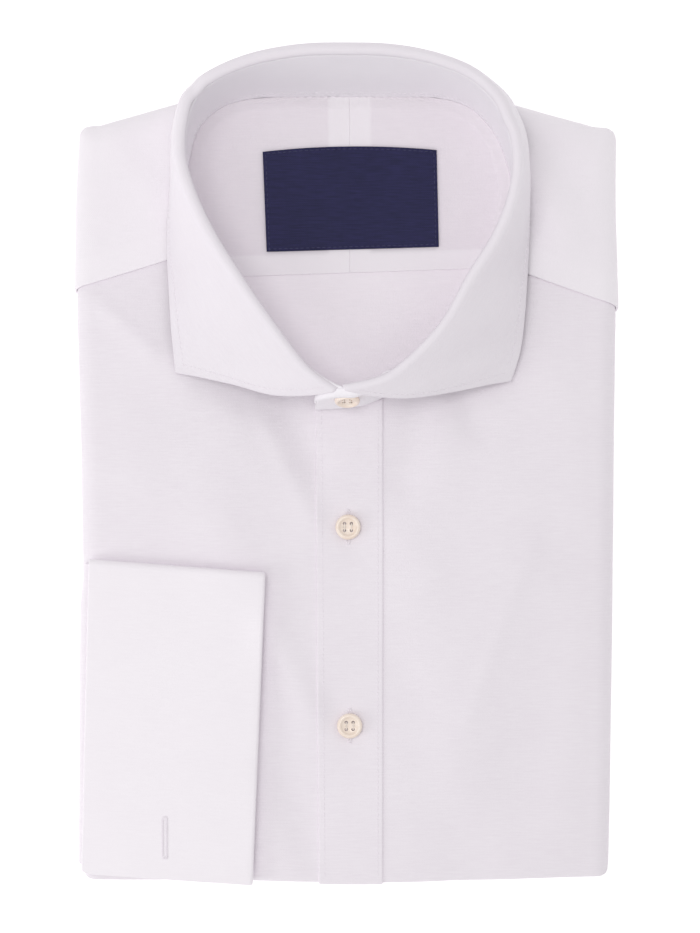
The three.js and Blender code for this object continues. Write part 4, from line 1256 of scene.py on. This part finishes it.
def button(name, centre, tilt, node):
    count = 56
    points, faces = [(0.0, 0.0, 0.0)], []
    for radius, z in button_profile[1:-1]:
        for i in range(count):
            angle = 2 * math.pi * i / count
            points.append((radius * math.cos(angle), radius * math.sin(angle), z))
    points.append((0.0, 0.0, button_profile[-1][1]))
    rings = len(button_profile) - 2
    for i in range(count):
        after = (i + 1) % count
        faces.append([0, 1 + after, 1 + i])
        for ring in range(rings - 1):
            low, high = 1 + ring * count, 1 + (ring + 1) * count
            faces.append([low + i, low + after, high + after, high + i])
        last = 1 + (rings - 1) * count
        faces.append([last + i, last + after, len(points) - 1])
    mesh = bpy.data.meshes.new(name)
    mesh.from_pydata(points, [], faces)
    body = bpy.data.objects.new(name, mesh)
    bpy.context.scene.collection.objects.link(body)
    drill_points, drill_faces = [], []
    for hole_x, hole_y in ((1.45, 1.45), (-1.45, 1.45), (-1.45, -1.45), (1.45, -1.45)):
        base = len(drill_points)
        for z in (-1.0, 4.0):
            for i in range(20):
                angle = 2 * math.pi * i / 20
                drill_points.append((hole_x + 0.72 * math.cos(angle),
                                     hole_y + 0.72 * math.sin(angle), z))
        for i in range(20):
            after = (i + 1) % 20
            drill_faces.append([base + i, base + after, base + 20 + after, base + 20 + i])
        drill_faces.append([base + i for i in range(19, -1, -1)])
        drill_faces.append([base + 20 + i for i in range(20)])
    drill_mesh = bpy.data.meshes.new("drill")
    drill_mesh.from_pydata(drill_points, [], drill_faces)
    drill = bpy.data.objects.new("drill", drill_mesh)
    bpy.context.scene.collection.objects.link(drill)
    cut = body.modifiers.new("holes", "BOOLEAN")
    cut.operation = "DIFFERENCE"
    cut.solver = "EXACT"
    cut.object = drill
    view = bpy.context.evaluated_depsgraph_get()
    made = bpy.data.meshes.new_from_object(body.evaluated_get(view))
    body.modifiers.clear()
    body.data = made
    bpy.data.objects.remove(drill)
    cos_t, sin_t = math.cos(tilt), math.sin(tilt)
    for vertex in made.vertices:
        x, y, z = vertex.co
        turned = np.array([x, y * cos_t - z * sin_t, y * sin_t + z * cos_t])
        vertex.co = (turned + np.array(centre) + shirt_shift) * MM
    made.materials.clear()
    made.materials.append(cream_button)
    made.polygons.foreach_set("use_smooth", [True] * len(made.polygons))
    made.set_sharp_from_angle(angle=math.radians(40))
    finish_piece(body, "button", node)
    rows = []
    for side in (-1.45, 1.45):
        row = [np.array([side, -0.4, 1.55]), np.array([side, 0.4, 1.55])]
        rows.append([(x, y * cos_t - z * sin_t, y * sin_t + z * cos_t) for x, y, z in row])
    rows = [np.array(row) + np.array(centre) for row in rows]
    sew(f"{name}_thread", rows, "button", pitch=2.0, length=3.3, thread=0.75,
        finish=cream_thread)


for name, x, y in (("upper", 0.1, -26.2), ("lower", 0.8, -109.6)):
    button(f"button_{name}_turned", (x, y, front_height(x, y) + 1.8), 0.0, f"button_{name}")
button("button_collar_turned", (-0.2, 27.4, 44.6), math.pi / 2 - 0.40,
       "button_collar")


# Table top: a plain white surface that the shirt lies on, lit by a broad soft light from
# the lower left and a weaker one from the right, seen from straight above.
floor_mesh = bpy.data.meshes.new("table_top")
floor_mesh.from_pydata([(-3, -3, 0), (3, -3, 0), (3, 3, 0), (-3, 3, 0)], [], [[0, 1, 2, 3]])
floor = bpy.data.objects.new("table_top", floor_mesh)
bpy.context.scene.collection.objects.link(floor)
floor_finish = bpy.data.materials.new("white_table")
floor_finish.use_nodes = True
floor_shader = floor_finish.node_tree.nodes["Principled BSDF"]
floor_shader.inputs["Base Color"].default_value = (0.95, 0.95, 0.95, 1)
floor_shader.inputs["Roughness"].default_value = 0.9
floor_shader.inputs["Emission Color"].default_value = (1, 1, 1, 1)
floor_shader.inputs["Emission Strength"].default_value = 0.40
floor_mesh.materials.append(floor_finish)

scene = bpy.context.scene
scene.view_settings.view_transform = "Standard"
surround = bpy.data.worlds.new("studio")
surround.use_nodes = True
surround.node_tree.nodes["Background"].inputs["Color"].default_value = (1, 1, 1, 1)
surround.node_tree.nodes["Background"].inputs["Strength"].default_value = 0.60
scene.world = surround


def soft_light(name, place, aim, size, power):
    data = bpy.data.lights.new(name, "AREA")
    data.shape = "SQUARE"
    data.size = size
    data.energy = power
    light = bpy.data.objects.new(name, data)
    light.location = place
    light.rotation_euler = (Vector(aim) - Vector(place)).to_track_quat("-Z", "Y").to_euler()
    scene.collection.objects.link(light)


soft_light("key", (-0.53, -0.55, 0.93), (0, 0, 0), 0.45, 1.05)
soft_light("rake", (-1.05, -0.45, 0.46), (0, 0, 0), 0.50, 2.1)
soft_light("overhead", (-0.30, 0.16, 1.60), (0, 0, 0), 0.60, 5.65)
soft_light("fill", (0.75, 0.45, 0.95), (0, 0, 0), 0.50, 0.7)

camera_data = bpy.data.cameras.new("camera")
camera_data.lens = 36 * 1275 / 391.86
camera_data.sensor_width = 36
camera_data.dof.use_dof = False
camera = bpy.data.objects.new("camera", camera_data)
camera.location = (0.00149, 0.00202, 1.3)
scene.collection.objects.link(camera)
scene.camera = camera
